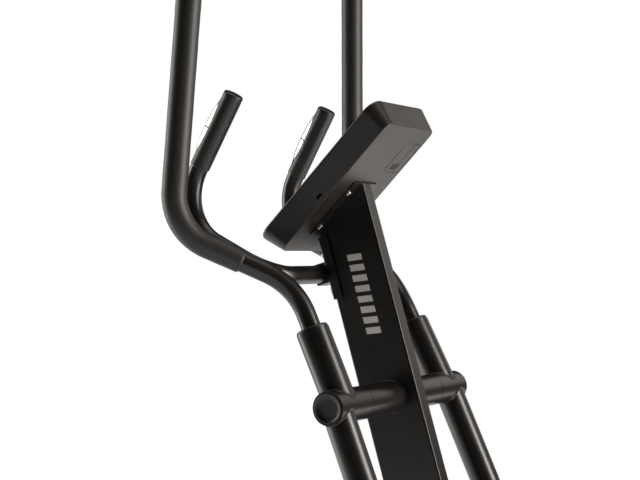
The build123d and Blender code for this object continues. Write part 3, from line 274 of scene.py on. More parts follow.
# %% Give every node its finish
coat = black_powder_coat()
plastic = moulded_plastic("black_polypropylene", "#0d0d0d", 0.45, 0.9)
FINISHES = {
    "frame_paint": coat,
    "steel": metal("ground_steel", "#a9aaac", 0.28, stretch=(6, 0.6, 6)),
    "zinc_bolts": metal("bright_zinc", "#b9bbbd", 0.24),
    "black_bolts": metal("black_oxide_steel", "#33312f", 0.38),
    "black_plastic": plastic,
    "foam": rubber_foam(),
    "console_plastic": moulded_plastic("console_abs", "#14110f", 0.38, 0.8),
    "lens": moulded_plastic("smoked_acrylic", "#0a0b0c", 0.08, 40, depth=0.01),
    "circuit_board": moulded_plastic("solder_mask", "#1d4a2c", 0.35, 3),
    "button_rubber": moulded_plastic("silicone_rubber", "#55565a", 0.55, 0.8),
    "pulse_steel": metal("brushed_stainless", "#d6d5d3", 0.3, stretch=(1, 1, 0.05), line=0.6),
    "housing_plastic": moulded_plastic("housing_abs", "#1a1a1b", 0.4, 1.1),
    "cast_iron": metal("machined_iron", "#6d6d6e", 0.42, line=2.0),
    "magnet": metal("nickel", "#8f8c86", 0.3),
    "belt_rubber": moulded_plastic("belt_rubber", "#111111", 0.7, 1.2),
    "wheel_plastic": moulded_plastic("wheel_rubber", "#161616", 0.62, 1.0),
}
slots = {part["node"]: part["material_slot"] for part in frame["record"]["subparts"]}
for name, node in nodes.items():
    node.data.materials.clear()
    node.data.materials.append(FINISHES[slots[name]])
print("finishes:", len(FINISHES))

# %% [markdown]
# ## Tools for the added pieces
# Everything added here is a plain mesh at the origin that rides on one body of the machine. Details
# that repeat or follow a seam are grown by Geometry Nodes: a tree takes a guide mesh and a few named
# sizes, puts a small shape on every point of it, and the result is kept as a plain mesh.

# %% Piece and tree helpers
def finished_piece(name, mesh, body, finish, smooth=True):
    """Show a mesh as a piece that rides on a body, in one finish."""
    mesh.materials.clear()
    mesh.materials.append(finish)
    mesh.polygons.foreach_set("use_smooth", [smooth] * len(mesh.polygons))
    piece = bpy.data.objects.new(name, mesh)
    bpy.context.scene.collection.objects.link(piece)
    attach(piece, body)
    print(name, len(mesh.polygons), "faces")
    return piece


def shape_mesh(name, points, faces):
    """A mesh from points and faces, with its doubles merged and its faces turned outwards."""
    mesh = bpy.data.meshes.new(name)
    mesh.from_pydata([tuple(point) for point in points], [], faces)
    maker = bmesh.new()
    maker.from_mesh(mesh)
    bmesh.ops.remove_doubles(maker, verts=maker.verts, dist=1e-6)
    bmesh.ops.recalc_face_normals(maker, faces=maker.faces)
    maker.to_mesh(mesh)
    maker.free()
    return mesh


def start_tree(name, sizes):
    """A Geometry Nodes tree with a geometry input and output, and one named input for each size."""
    tree = bpy.data.node_groups.new(name, "GeometryNodeTree")
    tree.interface.new_socket("Geometry", in_out="INPUT", socket_type="NodeSocketGeometry")
    for size, value in sizes.items():
        socket = tree.interface.new_socket(size, in_out="INPUT", socket_type="NodeSocketFloat")
        socket.default_value = value
    tree.interface.new_socket("Geometry", in_out="OUTPUT", socket_type="NodeSocketGeometry")
    return tree, tree.nodes.new("NodeGroupInput").outputs


def end_tree(tree, instances, finish):
    """Make the instances real, give them their finish and send them out."""
    real = add(tree, "GeometryNodeRealizeInstances", Geometry=instances)
    painted = add(tree, "GeometryNodeSetMaterial", {"Material": finish}, Geometry=real.outputs[0])
    tree.links.new(painted.outputs[0], tree.nodes.new("NodeGroupOutput").inputs[0])
    return tree


def grow(name, guide, tree, body, slot, finish, smooth=True, **sizes):
    """Run a tree on a guide mesh and keep what it makes as a plain piece."""
    carrier = bpy.data.objects.new(name + "_guide", guide)
    bpy.context.scene.collection.objects.link(carrier)
    modifier = carrier.modifiers.new("grow", "NODES")
    modifier.node_group = tree
    for item in tree.interface.items_tree:
        if item.in_out == "INPUT" and item.name in sizes:
            modifier[item.identifier] = sizes[item.name]
    evaluated = carrier.evaluated_get(bpy.context.evaluated_depsgraph_get())
    mesh = bpy.data.meshes.new_from_object(evaluated)
    bpy.data.objects.remove(carrier)
    return finished_piece(name, mesh, body, finish, smooth)


def guide_mesh(name, places, facings):
    """Loose points, each with the direction it faces."""
    mesh = bpy.data.meshes.new(name)
    mesh.from_pydata([tuple(place) for place in places], [], [])
    facing = mesh.attributes.new("facing", "FLOAT_VECTOR", "POINT")
    facing.data.foreach_set("vector", [value for direction in facings for value in direction])
    return mesh


# %% [markdown]
# The mast leans to the rear and the swing arms hang at their own angles, so three small frames of
# reference make the rest easy: up and forward along the mast, along and outward on an arm, and up the
# slope of the console.

# %% Frames of reference
MAST_LEAN = radians(16.44)
MAST_HALF_WIDTH = 14.75 * MM
RAIL_TOP = 133.5               # top of the rail that the mast stands on
MAST_UP = Vector((-sin(MAST_LEAN), 0, cos(MAST_LEAN)))
MAST_FORWARD = Vector((cos(MAST_LEAN), 0, sin(MAST_LEAN)))
SIDEWAYS = Vector((0, 1, 0))
ARM_ANGLE = {"right": radians(21.34), "left": radians(24.36)}
CONSOLE_SLOPE = radians(45.43)
CONSOLE_ON_MAST = 333.4        # up the mast from the pivot
CONSOLE_FACE = 44.98           # depth of its face, from its back
KEY_FACE = 47.98               # depth of the keys' tops
CONSOLE_UP = Vector((cos(CONSOLE_SLOPE), 0, sin(CONSOLE_SLOPE)))
CONSOLE_OUT = Vector((-sin(CONSOLE_SLOPE), 0, cos(CONSOLE_SLOPE)))
CONSOLE_ORIGIN = PIVOT + MAST_UP * CONSOLE_ON_MAST * MM


def on_mast(forward, across, up):
    """A point given in millimetres from the pivot: forward, to the left and up along the mast."""
    return PIVOT + (MAST_FORWARD * forward + SIDEWAYS * across + MAST_UP * up) * MM


def on_arm(side, forward, outward, up):
    """A point in millimetres in a swing arm's own frame, at rest."""
    angle = ARM_ANGLE[side]
    along = Vector((-sin(angle), 0, cos(angle)))
    ahead = Vector((cos(angle), 0, sin(angle)))
    return PIVOT + (ahead * forward + SIDEWAYS * SIDES[side] * outward + along * up) * MM


def on_console(along, across, out):
    """A point in millimetres on the console: up its slope, to the left and towards the user."""
    return CONSOLE_ORIGIN + (CONSOLE_UP * along + SIDEWAYS * across + CONSOLE_OUT * out) * MM


# %% [markdown]
# ## Weld beads
# The pivot tube is welded through the mast, and the two tubes of each swing arm are welded to its
# sleeve. A hand weld is a row of small overlapping ripples. It could be one swept ridge, but a row of
# balls half sunk in the steel ripples as a real one does. A tree walks along the seam, sets a ball
# every two millimetres or so and varies their size a little; the seams themselves are worked out from
# the crossing tubes.

# %% Seams
SEAM_STEPS = 96
BOSS = 27.0             # pivot tube radius
SLEEVE = 26.8           # upper sleeve radius
LOWER = 24.75           # lower tube radius
SLEEVE_OUT = 185.8      # the upper sleeve's axis, from the middle of the machine
LOWER_OUT = 203.4       # the lower tube's axis
SLEEVE_TILT = radians(2.93)


def ring_mesh(name, loops):
    """Closed loops of points as edges, for a tree to follow."""
    mesh = bpy.data.meshes.new(name)
    points, edges = [], []
    for loop in loops:
        start, count = len(points), len(loop)
        points += [tuple(point) for point in loop]
        edges += [(start + step, start + (step + 1) % count) for step in range(count)]
    mesh.from_pydata(points, edges, [])
    return mesh


def boss_seam(sign):
    """Round the pivot tube where it meets one side of the mast."""
    turns = [2 * pi * step / SEAM_STEPS for step in range(SEAM_STEPS)]
    return [
        PIVOT + Vector((cos(turn) * BOSS, 0, sin(turn) * BOSS)) * MM + SIDEWAYS * sign * MAST_HALF_WIDTH
        for turn in turns
    ]


def saddle_seam(side, radius, offset, tilt, direction):
    """Where a tube of an arm meets the pivot sleeve: a saddle curve round both."""
    loop = []
    for step in range(SEAM_STEPS):
        turn = 2 * pi * step / SEAM_STEPS
        ahead, outward = radius * cos(turn), radius * sin(turn)
        rise = direction * (max(BOSS * BOSS - ahead * ahead, 0)) ** 0.5
        forward = ahead * cos(tilt) - rise * sin(tilt)
        loop.append(on_arm(side, forward, offset + outward, ahead * sin(tilt) + rise * cos(tilt)))
    return loop


seams = {
    "frame": [boss_seam(sign) for sign in SIDES.values()],
    "swing_right": [],
    "swing_left": [],
}
for side in SIDES:
    seams["swing_" + side] = [
        saddle_seam(side, SLEEVE, SLEEVE_OUT, SLEEVE_TILT, 1),
        saddle_seam(side, LOWER, LOWER_OUT, 0, -1),
    ]

# %% The bead tree
RIPPLE = 2.2 * MM
BEAD = 1.9 * MM         # radius
BEAD_RANGE = (0.85, 1.12)
bead_tree, given = start_tree("weld_bead", {"Ripple": RIPPLE, "Bead": BEAD})
seam_curve = add(bead_tree, "GeometryNodeMeshToCurve", Mesh=given["Geometry"])
spaced = add(
    bead_tree, "GeometryNodeResampleCurve", {"mode": "LENGTH"},
    Curve=seam_curve.outputs[0], Length=given["Ripple"],
)
drop = add(bead_tree, "GeometryNodeMeshIcoSphere", {"Radius": 1.0, "Subdivisions": 2})
vary = add(bead_tree, "FunctionNodeRandomValue", {"data_type": "FLOAT", "Seed": 7})
vary.inputs[2].default_value, vary.inputs[3].default_value = BEAD_RANGE
swell = add(bead_tree, "ShaderNodeMath", {"operation": "MULTIPLY"})
bead_tree.links.new(vary.outputs[1], swell.inputs[0])
bead_tree.links.new(given["Bead"], swell.inputs[1])
beads = add(
    bead_tree, "GeometryNodeInstanceOnPoints",
    Points=spaced.outputs[0], Instance=drop.outputs[0], Scale=swell.outputs[0],
)
end_tree(bead_tree, beads.outputs[0], coat)

for body, loops in seams.items():
    guide = ring_mesh("seam_" + body, loops)
    grow("weld_beads_" + body, guide, bead_tree, body, "frame_paint", coat, Bead=BEAD)

# %% [markdown]
# ## Foam grips
# Each moving handle wears a long sleeve of closed-cell foam, pushed on with soapy water. It is soft, so
# its ends are rounded, it is thinner at its lower end, where it was stretched on, and it is faintly
# wavy along its length. A bevelled curve would leave its ends flat, so the sleeve is swept one ring at
# a time along the handle's line: two straight runs joined by an arc. It is soft and stands in for the
# solid grip under it, which is hidden.

# %% Sweep the sleeves
HANDLE_FIRST = 204.5     # first corner, up the sleeve
HANDLE_BACK = (-120.3, 309.6, 341.7)
HANDLE_TOP = (92.2, 294.1, 792.6)
GRIP_START = 94.0
GRIP_BEND = 90.0
GRIP_OUTER = 20.3
GRIP_THIN = 18.6          # at the lower end, where it was stretched over the bend
GRIP_THINNING = 120.0     # over this length
GRIP_INNER = 16.05
GRIP_STEP = 5.0
GRIP_SIDES = 44
GRIP_END = [(0.0, -1.4), (0.7, -0.7), (2.2, -0.2), (4.5, 0.0)]   # distance in, and change of radius
WAVES = [(0.10, 0.071, 0.0), (0.07, 0.193, 1.3)]     # height, rate along and start


def rounded_line(start, corner, end, radius, step):
    """Points along two runs joined by an arc, with the direction at each."""
    before, after = (start - corner).normalized(), (end - corner).normalized()
    half = before.angle(after) / 2
    tangent = radius / tan(half)
    centre = corner + (before + after).normalized() * radius / sin(half)
    sweep = pi - 2 * half
    first, last = corner + before * tangent, corner + after * tangent
    spoke, lift = (first - centre).normalized(), -before
    line = []
    count = max(2, int((first - start).length / step))
    line += [(start.lerp(first, index / count), -before) for index in range(count)]
    count = max(6, int(radius * sweep / step))
    for index in range(count):
        turn = sweep * index / count
        place = centre + (spoke * cos(turn) + lift * sin(turn)) * radius
        line.append((place, lift * cos(turn) - spoke * sin(turn)))
    count = max(2, int((end - last).length / step))
    line += [(last.lerp(end, index / count), after) for index in range(count + 1)]
    return line


def foam_sleeve(side):
    """The closed sleeve of one handle: rings along the outside, then back along the bore."""
    first = on_arm(side, -sin(SLEEVE_TILT) * HANDLE_FIRST, SLEEVE_OUT, cos(SLEEVE_TILT) * HANDLE_FIRST)
    back, top = on_arm(side, *HANDLE_BACK), on_arm(side, *HANDLE_TOP)
    start = first + (back - first).normalized() * GRIP_START * MM
    line = rounded_line(start, back, top, GRIP_BEND * MM, GRIP_STEP * MM)
    lengths = [0.0]
    for (here, _), (there, _) in zip(line, line[1:]):
        lengths.append(lengths[-1] + (there - here).length / MM)
    total = lengths[-1]

    def outer(distance):
        inset = min(distance, total - distance)
        change = 0.0
        for (near, low), (far, high) in zip(GRIP_END, GRIP_END[1:]):
            if inset <= far:
                change = low + (high - low) * max(inset - near, 0) / (far - near)
                break
        wave = sum(height * sin(distance * rate + start) for height, rate, start in WAVES)
        share = min(distance / GRIP_THINNING, 1.0)
        body = GRIP_THIN + (GRIP_OUTER - GRIP_THIN) * share * share * (3 - 2 * share)
        return body + change + wave

    insets = [inset for inset, _ in GRIP_END]
    clear = insets[-1] + 1.5
    stations = insets + [total - inset for inset in insets]
    stations = sorted(set(stations + [d for d in lengths if clear < d < total - clear]))

    def place(distance):
        for index in range(len(lengths) - 1):
            if distance <= lengths[index + 1] + 1e-6:
                share = (distance - lengths[index]) / (lengths[index + 1] - lengths[index])
                (here, way), (there, next_way) = line[index], line[index + 1]
                return here.lerp(there, share), way.lerp(next_way, share)

    rings = [(d, outer(d)) for d in stations] + [(d, GRIP_INNER) for d in reversed(stations)]
    points = []
    for distance, radius in rings:
        here, ahead = place(distance)
        across = (SIDEWAYS - ahead * SIDEWAYS.dot(ahead)).normalized()
        up = ahead.cross(across).normalized()
        for step in range(GRIP_SIDES):
            turn = 2 * pi * step / GRIP_SIDES
            points.append(here + (across * cos(turn) + up * sin(turn)) * radius * MM)
    faces = []
    count = len(rings)
    for ring in range(count):
        for step in range(GRIP_SIDES):
            nearby = (step + 1) % GRIP_SIDES
            after = (ring + 1) % count
            faces.append((
                ring * GRIP_SIDES + step, ring * GRIP_SIDES + nearby,
                after * GRIP_SIDES + nearby, after * GRIP_SIDES + step,
            ))
    return shape_mesh("foam_sleeve_" + side, points, faces)


for side in SIDES:
    sleeve = finished_piece(
        "foam_sleeve_" + side, foam_sleeve(side), "swing_" + side, FINISHES["foam"]
    )
    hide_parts("grip_" + side)

# %% [markdown]
# ## Bolt sockets
# Every visible bolt is tightened with a hex key, so each head has a hexagonal socket. The socket's
# inside is in shade, so it is drawn as a thin near-black hexagon on the head: painted shade. A second
# tree puts one on each place in a guide, turned to face the way the bolt does.

# %% Hex sockets
# Painted shade: a near-black finish for the bolt sockets, the gaps on the console's back and the cooling slots,
# standing in for the shade inside these recesses.
painted_shade_black = moulded_plastic("painted_recess_shade", "#060606", 0.6, 1.0, depth=0.05)
HEX_REACH = 0.577              # from the middle to a corner, in widths across the flats
socket_tree, given = start_tree("hex_sockets", {"Across": 5 * MM, "Depth": 0.6 * MM})
facing = add(socket_tree, "GeometryNodeInputNamedAttribute", {"data_type": "FLOAT_VECTOR", "Name": "facing"})
turned = add(socket_tree, "FunctionNodeAlignRotationToVector", {"axis": "Z"}, Vector=facing.outputs[0])
half_across = add(socket_tree, "ShaderNodeMath", {"operation": "MULTIPLY"})
socket_tree.links.new(given["Across"], half_across.inputs[0])
half_across.inputs[1].default_value = HEX_REACH
hexagon = add(
    socket_tree, "GeometryNodeMeshCylinder", {"Vertices": 6},
    Radius=half_across.outputs[0], Depth=given["Depth"],
)
sockets = add(
    socket_tree, "GeometryNodeInstanceOnPoints",
    Points=given["Geometry"], Instance=hexagon.outputs[0], Rotation=turned.outputs[0],
)
end_tree(socket_tree, sockets.outputs[0], painted_shade_black)

# %% Where the bolts are
BRACKET_HEAD = -63.3           # the tops of the bracket bolts, behind the mast's axis
STABILIZER_HEAD = RAIL_TOP + 5.4
MAST_HEAD = 19.55              # from the middle of the mast to the tops of its bolts
SCREW_HEAD = -6.0              # the tops of the console screws, from its back
bracket_heads = [on_mast(BRACKET_HEAD, across, level) for level in (200, 263) for across in (-9, 9)]
stabilizer_heads = []
for tube in ("front_stabilizer", "rear_stabilizer"):
    near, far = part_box(tube)
    middle = (near.x + far.x) / 2
    stabilizer_heads += [Vector((middle, across * MM, STABILIZER_HEAD * MM)) for across in (-12, 12)]
mast_foot = -(PIVOT.z / MM - RAIL_TOP) / cos(MAST_LEAN)
mast_heads = [
    (on_mast(0, sign * MAST_HEAD, mast_foot + level), SIDEWAYS * sign)
    for level in (70, 140) for sign in (-1, 1)
]
places = bracket_heads + stabilizer_heads + [place for place, _ in mast_heads]
ways = [-MAST_FORWARD] * len(bracket_heads) + [Vector((0, 0, 1))] * len(stabilizer_heads)
ways += [way for _, way in mast_heads]
bolt_guide = guide_mesh("frame_bolts_guide", places, ways)
grow("hex_sockets_frame", bolt_guide, socket_tree, "frame", "zinc_bolts", painted_shade_black, smooth=False,
     Across=5 * MM)

screw_places = [on_console(along, across, SCREW_HEAD) for along in (-48.7, 29.4) for across in (-33, 33)]
screw_guide = guide_mesh("screw_guide", screw_places, [-CONSOLE_OUT] * len(screw_places))
grow("console_screw_sockets", screw_guide, socket_tree, "frame", "zinc_bolts", painted_shade_black, smooth=False,
     Across=4 * MM)

# %% [markdown]
# ## Printed stripes on the mast
# The mast carries a screen print in pale grey. Here it is a plain row of slanted bars, a film of ink a
# fifth of a millimetre thick that stands on the mast's right face. Eight bars are few enough for a
# loop.

# %% Stripes
def slanted_slab(origin, along, across, out, corners, thickness):
    """A thin slab on a face from corners in millimetres, as points and faces to add to a mesh."""
    points = [origin + (along * a + across * c) * MM for a, c in corners]
    points += [point + out * thickness * MM for point in points]
    count = len(corners)
    faces = [tuple(range(count)), tuple(range(2 * count - 1, count - 1, -1))]
    faces += [(step, (step + 1) % count, count + (step + 1) % count, count + step) for step in range(count)]
    return points, faces


def slabs_mesh(name, slabs):
    """One mesh from several slabs."""
    points, faces = [], []
    for some_points, some_faces in slabs:
        faces += [tuple(index + len(points) for index in face) for face in some_faces]
        points += some_points
    return shape_mesh(name, points, faces)


INK = 0.2
SUNK = 0.02                    # so that the film and the face don't flicker
STRIPES = 8
STRIPE_TOP = 250
STRIPE_PITCH = 18.2
STRIPE_LONG = 11.0
STRIPE_SLANT = 4.5
STRIPE_REAR, STRIPE_FRONT = -15, 12
stripe_face = PIVOT + SIDEWAYS * -(MAST_HALF_WIDTH - SUNK * MM)
stripes = []
for index in range(STRIPES):
    top = STRIPE_TOP - index * STRIPE_PITCH
    low = top - STRIPE_LONG
    corners = [
        (top, STRIPE_REAR), (top - STRIPE_SLANT, STRIPE_FRONT),
        (low - STRIPE_SLANT, STRIPE_FRONT), (low, STRIPE_REAR),
    ]
    stripes.append(slanted_slab(stripe_face, MAST_UP, MAST_FORWARD, -SIDEWAYS, corners, INK))
ink = moulded_plastic("screen_print_ink", "#b9b7b4", 0.5, 1.5, depth=0.1)
stripe_mesh = slabs_mesh("mast_stripes", stripes)
finished_piece("mast_stripes", stripe_mesh, "frame", ink, smooth=False)

# %% [markdown]
# ## Pivot end plugs
# A shallow dished plug closes each end of the pivot tubes. It is turned from one profile about the
# pivot's axis: a flat rim, a small step and a dish.

# %% Turned plugs
TURN_STEPS = 64


def turned(name, origin, axis, profile):
    """A closed shape turned about an axis, from (radius, along) pairs in millimetres."""
    side_way = axis.orthogonal().normalized()
    up_way = axis.cross(side_way)
    points, faces = [], []
    for radius, along in profile:
        for step in range(TURN_STEPS):
            turn = 2 * pi * step / TURN_STEPS
            points.append(origin + (axis * along + (side_way * cos(turn) + up_way * sin(turn)) * radius) * MM)
    for ring in range(len(profile) - 1):
        for step in range(TURN_STEPS):
            after = (step + 1) % TURN_STEPS
            faces.append((
                ring * TURN_STEPS + step, ring * TURN_STEPS + after,
                (ring + 1) * TURN_STEPS + after, (ring + 1) * TURN_STEPS + step,
            ))
    return shape_mesh(name, points, faces)


PIVOT_END = 229.3              # from the middle of the machine to the tube's end
PLUG = [
    # radius, and distance out from the tube's end
    (0, -2.2), (12, -2.2), (17, -1.9), (20.2, -0.6), (21.0, 0.5), (22.6, 0.9), (23.6, 0.5),
    (23.6, -8), (20, -8), (20, -4.5), (0, -4.5),
]
for side, sign in SIDES.items():
    end = PIVOT + SIDEWAYS * sign * PIVOT_END * MM
    plug = turned("pivot_plug_" + side, end, SIDEWAYS * sign, PLUG)
    finished_piece("pivot_plug_" + side, plug, "swing_" + side, plastic)

# %% [markdown]
# ## Console details
# The battery door has a latch panel and one moulded line. The panel's outline and the line are thin
# gaps in the shell, and their shade is painted on as near-black bars. The face has a bezel round the
# window, a liquid-crystal readout of plain digits, and a printed mark on each key. All are thin slabs,
# because they are flat on the real thing too, and a slab stays crisp at any distance. The marks ride
# on the keys.

# %% Lines on the back shell
def outline_slabs(origin, along, across, out, low, high, wide, thickness):
    """Four thin bars round a rectangle given by its low and high corners."""
    (a0, c0), (a1, c1) = low, high
    boxes = [
        ((a0, c0), (a1, c0 + wide)), ((a0, c1 - wide), (a1, c1)),
        ((a0, c0 + wide), (a0 + wide, c1 - wide)), ((a1 - wide, c0 + wide), (a1, c1 - wide)),
    ]
    return [
        slanted_slab(origin, along, across, out, [(p, q), (r, q), (r, s), (p, s)], thickness)
        for (p, q), (r, s) in boxes
    ]


LINE_WIDE = 1.1
LINE_THICK = 0.25
PANEL_LOW, PANEL_HIGH = (81, 59), (146.4, 80.6)      # along and across, in the console's frame
back_face = CONSOLE_ORIGIN + CONSOLE_OUT * 0.05 * MM
behind = (back_face, CONSOLE_UP, SIDEWAYS, -CONSOLE_OUT)
# These bars are painted shade: near-black strips where the door's outline gap and the moulded line lie in shadow.
lines = outline_slabs(*behind, PANEL_LOW, PANEL_HIGH, LINE_WIDE, LINE_THICK)
line = [(87, 27.2), (138, 27.2), (138, 27.2 + LINE_WIDE), (87, 27.2 + LINE_WIDE)]
lines.append(slanted_slab(*behind, line, LINE_THICK))
line_mesh = slabs_mesh("console_gap_shade_lines", lines)
finished_piece("console_gap_shade_lines", line_mesh, "frame", painted_shade_black, smooth=False)

# %% Bezel, readout and key marks
SEGMENTS = {
    "0": "abcdef", "1": "bc", "2": "abged", "3": "abgcd", "4": "fgbc", "5": "afgcd", "7": "abc",
    "8": "abcdefg",
}
DIGIT = (15.0, 9.0, 1.6)       # height, width and stroke
DIGIT_PITCH = 1.45             # in widths
SEGMENT_GAP = 0.12             # in strokes
SEGMENT_THICK = 0.12


def digit_slabs(text, along, across, scale):
    """Plain seven-segment digits, which run to the user's right."""
    high, wide, stroke = (value * scale for value in DIGIT)
    slabs = []
    places = {
        "a": (high - stroke, high, 0, wide), "g": ((high - stroke) / 2, (high + stroke) / 2, 0, wide),
        "d": (0, stroke, 0, wide), "f": (high / 2, high, 0, stroke), "e": (0, high / 2, 0, stroke),
        "b": (high / 2, high, wide - stroke, wide), "c": (0, high / 2, wide - stroke, wide),
    }
    for index, digit in enumerate(text):
        for segment in SEGMENTS.get(digit, ""):
            a0, a1, c0, c1 = places[segment]
            left = across - index * wide * DIGIT_PITCH
            gap = stroke * SEGMENT_GAP
            box = [(a0 + gap, -c0 - gap), (a1 - gap, -c0 - gap), (a1 - gap, -c1 + gap), (a0 + gap, -c1 + gap)]
            box = [(along + a, left + c) for a, c in box]
            slabs.append(slanted_slab(*in_front, box, SEGMENT_THICK))
    return slabs


front_face = CONSOLE_ORIGIN + CONSOLE_OUT * CONSOLE_FACE * MM
in_front = (front_face, CONSOLE_UP, SIDEWAYS, CONSOLE_OUT)
bezel = slabs_mesh("console_bezel", outline_slabs(*in_front, (33, -71), (135, 71), 3.0, 0.5))
finished_piece("console_bezel", bezel, "frame", plastic, smooth=False)
readout = digit_slabs("2735", 92, 50, 1.5)
readout += digit_slabs("104", 56, 50, 1.0) + digit_slabs("38", 56, -12, 1.0)
for level in (84, 50):
    bar = [(level, 56), (level + 0.8, 56), (level + 0.8, -56), (level, -56)]
    readout.append(slanted_slab(*in_front, bar, SEGMENT_THICK))
segments = moulded_plastic("readout_segments", "#b4beb0", 0.4, 3, depth=0.02)
readout_mesh = slabs_mesh("console_readout", readout)
finished_piece("console_readout", readout_mesh, "frame", segments, smooth=False)

KEY_MARKS = {
    "down_button": [(-37, 40), (-28, 44.5), (-28, 35.5)],
    "up_button": [(-27, -40), (-36, -35.5), (-36, -44.5)],
    "mode_button": [(-34, 5), (-30, 5), (-30, -5), (-34, -5)],
}
key_face = CONSOLE_ORIGIN + CONSOLE_OUT * KEY_FACE * MM
mark = moulded_plastic("key_mark_ink", "#d8d8d6", 0.5, 1.5, depth=0.1)
for body, corners in KEY_MARKS.items():
    slab = slanted_slab(key_face, CONSOLE_UP, SIDEWAYS, CONSOLE_OUT, corners, 0.2)
    mark_mesh = slabs_mesh("mark_" + body, [slab])
    finished_piece("mark_" + body, mark_mesh, body, mark, smooth=False)

# %% [markdown]
# ## Anti-slip studs
# The foot plates are moulded with rows of low studs that grip a wet shoe. A tree stands a twelve-sided
# cone with a flat top on each point of a grid between the ribs, which keeps every stud light, and the
# guide leaves the bolt heads clear.

# %% Studs on the foot plates
STUD_PITCH = 12.4              # along the plate
RIB_PITCH = 86 / 6             # the plate's seven ribs; the studs stand between them
STUD = (3.2 * MM, 2.8 * MM)    # radius and height
PLATE_MIDDLE = 340.0           # behind the lower hinge
PLATE_FLOOR = 37.4             # above the pedal arm's axis
PLATE_ACROSS = 143.0           # from the middle of the machine
CRANK_ANGLE = radians(-4.35)
CRANK_REACH = 165.0
ARM_LENGTH = 690.0             # from the pivot to the lower hinge
STUD_TOP = 0.72                # of the radius
PLATE_BOLTS = [(along, across) for along in (-70, 70) for across in (-36, 36)]
BOLT_ROOM = 12.0
stud_tree, given = start_tree("plate_studs", {"Radius": STUD[0], "Height": STUD[1]})
facing = add(stud_tree, "GeometryNodeInputNamedAttribute", {"data_type": "FLOAT_VECTOR", "Name": "facing"})
upright = add(stud_tree, "FunctionNodeAlignRotationToVector", {"axis": "Z"}, Vector=facing.outputs[0])
crown = add(stud_tree, "ShaderNodeMath", {"operation": "MULTIPLY"})
stud_tree.links.new(given["Radius"], crown.inputs[0])
crown.inputs[1].default_value = STUD_TOP
dome = add(
    stud_tree, "GeometryNodeMeshCone", {"Vertices": 12},
    Radius_Bottom=given["Radius"], Radius_Top=crown.outputs[0], Depth=given["Height"],
)
studs = add(
    stud_tree, "GeometryNodeInstanceOnPoints",
    Points=given["Geometry"], Instance=dome.outputs[0], Rotation=upright.outputs[0],
)
end_tree(stud_tree, studs.outputs[0], plastic)

for side, sign in SIDES.items():
    hinge = PIVOT + Vector((sin(ARM_ANGLE[side]), 0, -cos(ARM_ANGLE[side]))) * ARM_LENGTH * MM
    crank_sign = 1 if side == "right" else -1
    pin = CRANK + Vector((sin(CRANK_ANGLE), 0, cos(CRANK_ANGLE))) * crank_sign * CRANK_REACH * MM
    ahead = (hinge - pin).normalized()
    above = ahead.cross(SIDEWAYS).normalized()
    above = above if above.z > 0 else -above
    centre = hinge + (ahead * -PLATE_MIDDLE + above * PLATE_FLOOR) * MM
    centre.y = sign * PLATE_ACROSS * MM
    places = []
    for row in range(-11, 12):
        for column in range(-3, 3):
            along, across = row * STUD_PITCH, (column + 0.5) * RIB_PITCH
            if not any(abs(along - a) < BOLT_ROOM and abs(across - c) < BOLT_ROOM for a, c in PLATE_BOLTS):
                places.append(centre + (ahead * along + SIDEWAYS * across) * MM)
    guide = guide_mesh("stud_guide_" + side, places, [above] * len(places))
    grow("plate_studs_" + side, guide, stud_tree, "pedal_" + side, "black_plastic", plastic, smooth=False)

# %% [markdown]
# ## Drive housing details
# Each half of the housing has a round cover over the crank and a row of cooling slots over the
# flywheel. The cover is turned, with a raised ring. The slots are not cut but painted as near-black
# bars of shade in a row, which a tree repeats.

# %% Crank covers
COVER = [
    # radius, and distance out from the housing's face; it ends where it starts
    (36, 1.6), (36, 2.6), (60, 2.6), (63, 3.4), (92, 3.4), (96, 2.4), (97, 0.6), (97, -0.4), (36, -0.4),
    (36, 1.6),
]
HOUSING_FACE = 50.0            # from the middle of the machine
for side, sign in SIDES.items():
    face = CRANK + SIDEWAYS * sign * HOUSING_FACE * MM
    cover = turned("crank_cover_" + side, face, SIDEWAYS * sign, COVER)
    finished_piece("crank_cover_" + side, cover, "frame", plastic)

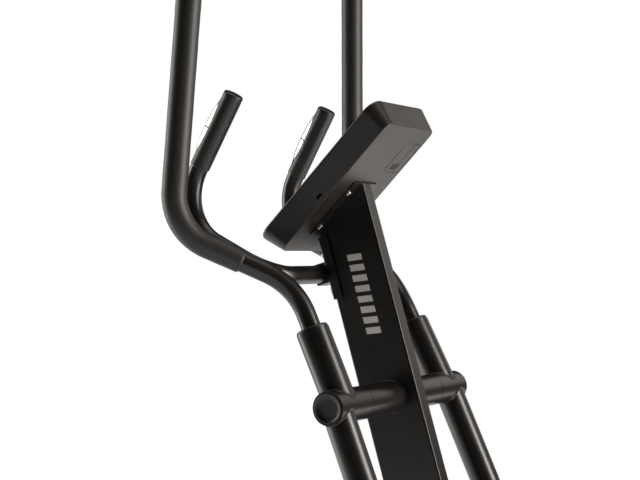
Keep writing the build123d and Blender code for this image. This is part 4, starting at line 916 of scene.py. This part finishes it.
# %% Cooling slots
SLOT_THICK = 0.5 * MM
SLOT_PITCH = 11.0
SLOTS = 9
SLOT_RISE = 62                 # above the flywheel's axis
slot_tree, given = start_tree("cooling_slots", {"Long": 46 * MM, "Wide": 4 * MM})
facing = add(slot_tree, "GeometryNodeInputNamedAttribute", {"data_type": "FLOAT_VECTOR", "Name": "facing"})
turned_slot = add(slot_tree, "FunctionNodeAlignRotationToVector", {"axis": "Y"}, Vector=facing.outputs[0])
slot_size = add(slot_tree, "ShaderNodeCombineXYZ", {"Y": SLOT_THICK}, X=given["Wide"], Z=given["Long"])
slot_bar = add(slot_tree, "GeometryNodeMeshCube", Size=slot_size.outputs[0])
slots_made = add(
    slot_tree, "GeometryNodeInstanceOnPoints",
    Points=given["Geometry"], Instance=slot_bar.outputs[0], Rotation=turned_slot.outputs[0],
)
# The bars take the near-black finish: painted shade for the inside of the slots.
end_tree(slot_tree, slots_made.outputs[0], painted_shade_black)
places, ways = [], []
for sign in SIDES.values():
    for index in range(SLOTS):
        offset = Vector(((index - (SLOTS - 1) / 2) * SLOT_PITCH, 0, SLOT_RISE)) * MM
        places.append(FLYWHEEL + offset + SIDEWAYS * sign * HOUSING_FACE * MM)
        ways.append(SIDEWAYS * sign)
slot_guide = guide_mesh("slot_guide", places, ways)
grow("cooling_slots", slot_guide, slot_tree, "frame", "housing_plastic", painted_shade_black, smooth=False)

# %% [markdown]
# ## The floor
# The studio floor is a pale disc that fades into the white backdrop, as a paper sweep does. Near the
# machine it takes shadows; further out it glows by itself, so no edge or horizon shows.

# %% Pale sweep
SWEEP_RADIUS = 3.9
SWEEP_FADE = (1.3, 3.4)        # where the glow starts to grow, and where it is full
SWEEP_GLOW = (0.35, 1.0)
floor_mesh = bpy.data.meshes.new("floor")
maker = bmesh.new()
bmesh.ops.create_circle(maker, cap_ends=True, radius=SWEEP_RADIUS, segments=96)
maker.to_mesh(floor_mesh)
maker.free()
floor = bpy.data.objects.new("floor", floor_mesh)
bpy.context.scene.collection.objects.link(floor)
sweep, tree, shader, place = start_material("pale_studio_paint", "#f4f4f3", 0.6, Emission_Color=(1, 1, 1, 1))
reach = add(tree, "ShaderNodeVectorMath", {"operation": "LENGTH"})
tree.links.new(place, reach.inputs[0])
fade_range = {
    "From Min": SWEEP_FADE[0], "From Max": SWEEP_FADE[1], "To Min": SWEEP_GLOW[0], "To Max": SWEEP_GLOW[1],
}
fade = add(tree, "ShaderNodeMapRange", fade_range, Value=reach.outputs["Value"])
tree.links.new(fade.outputs[0], shader.inputs["Emission Strength"])
floor_mesh.materials.append(sweep)
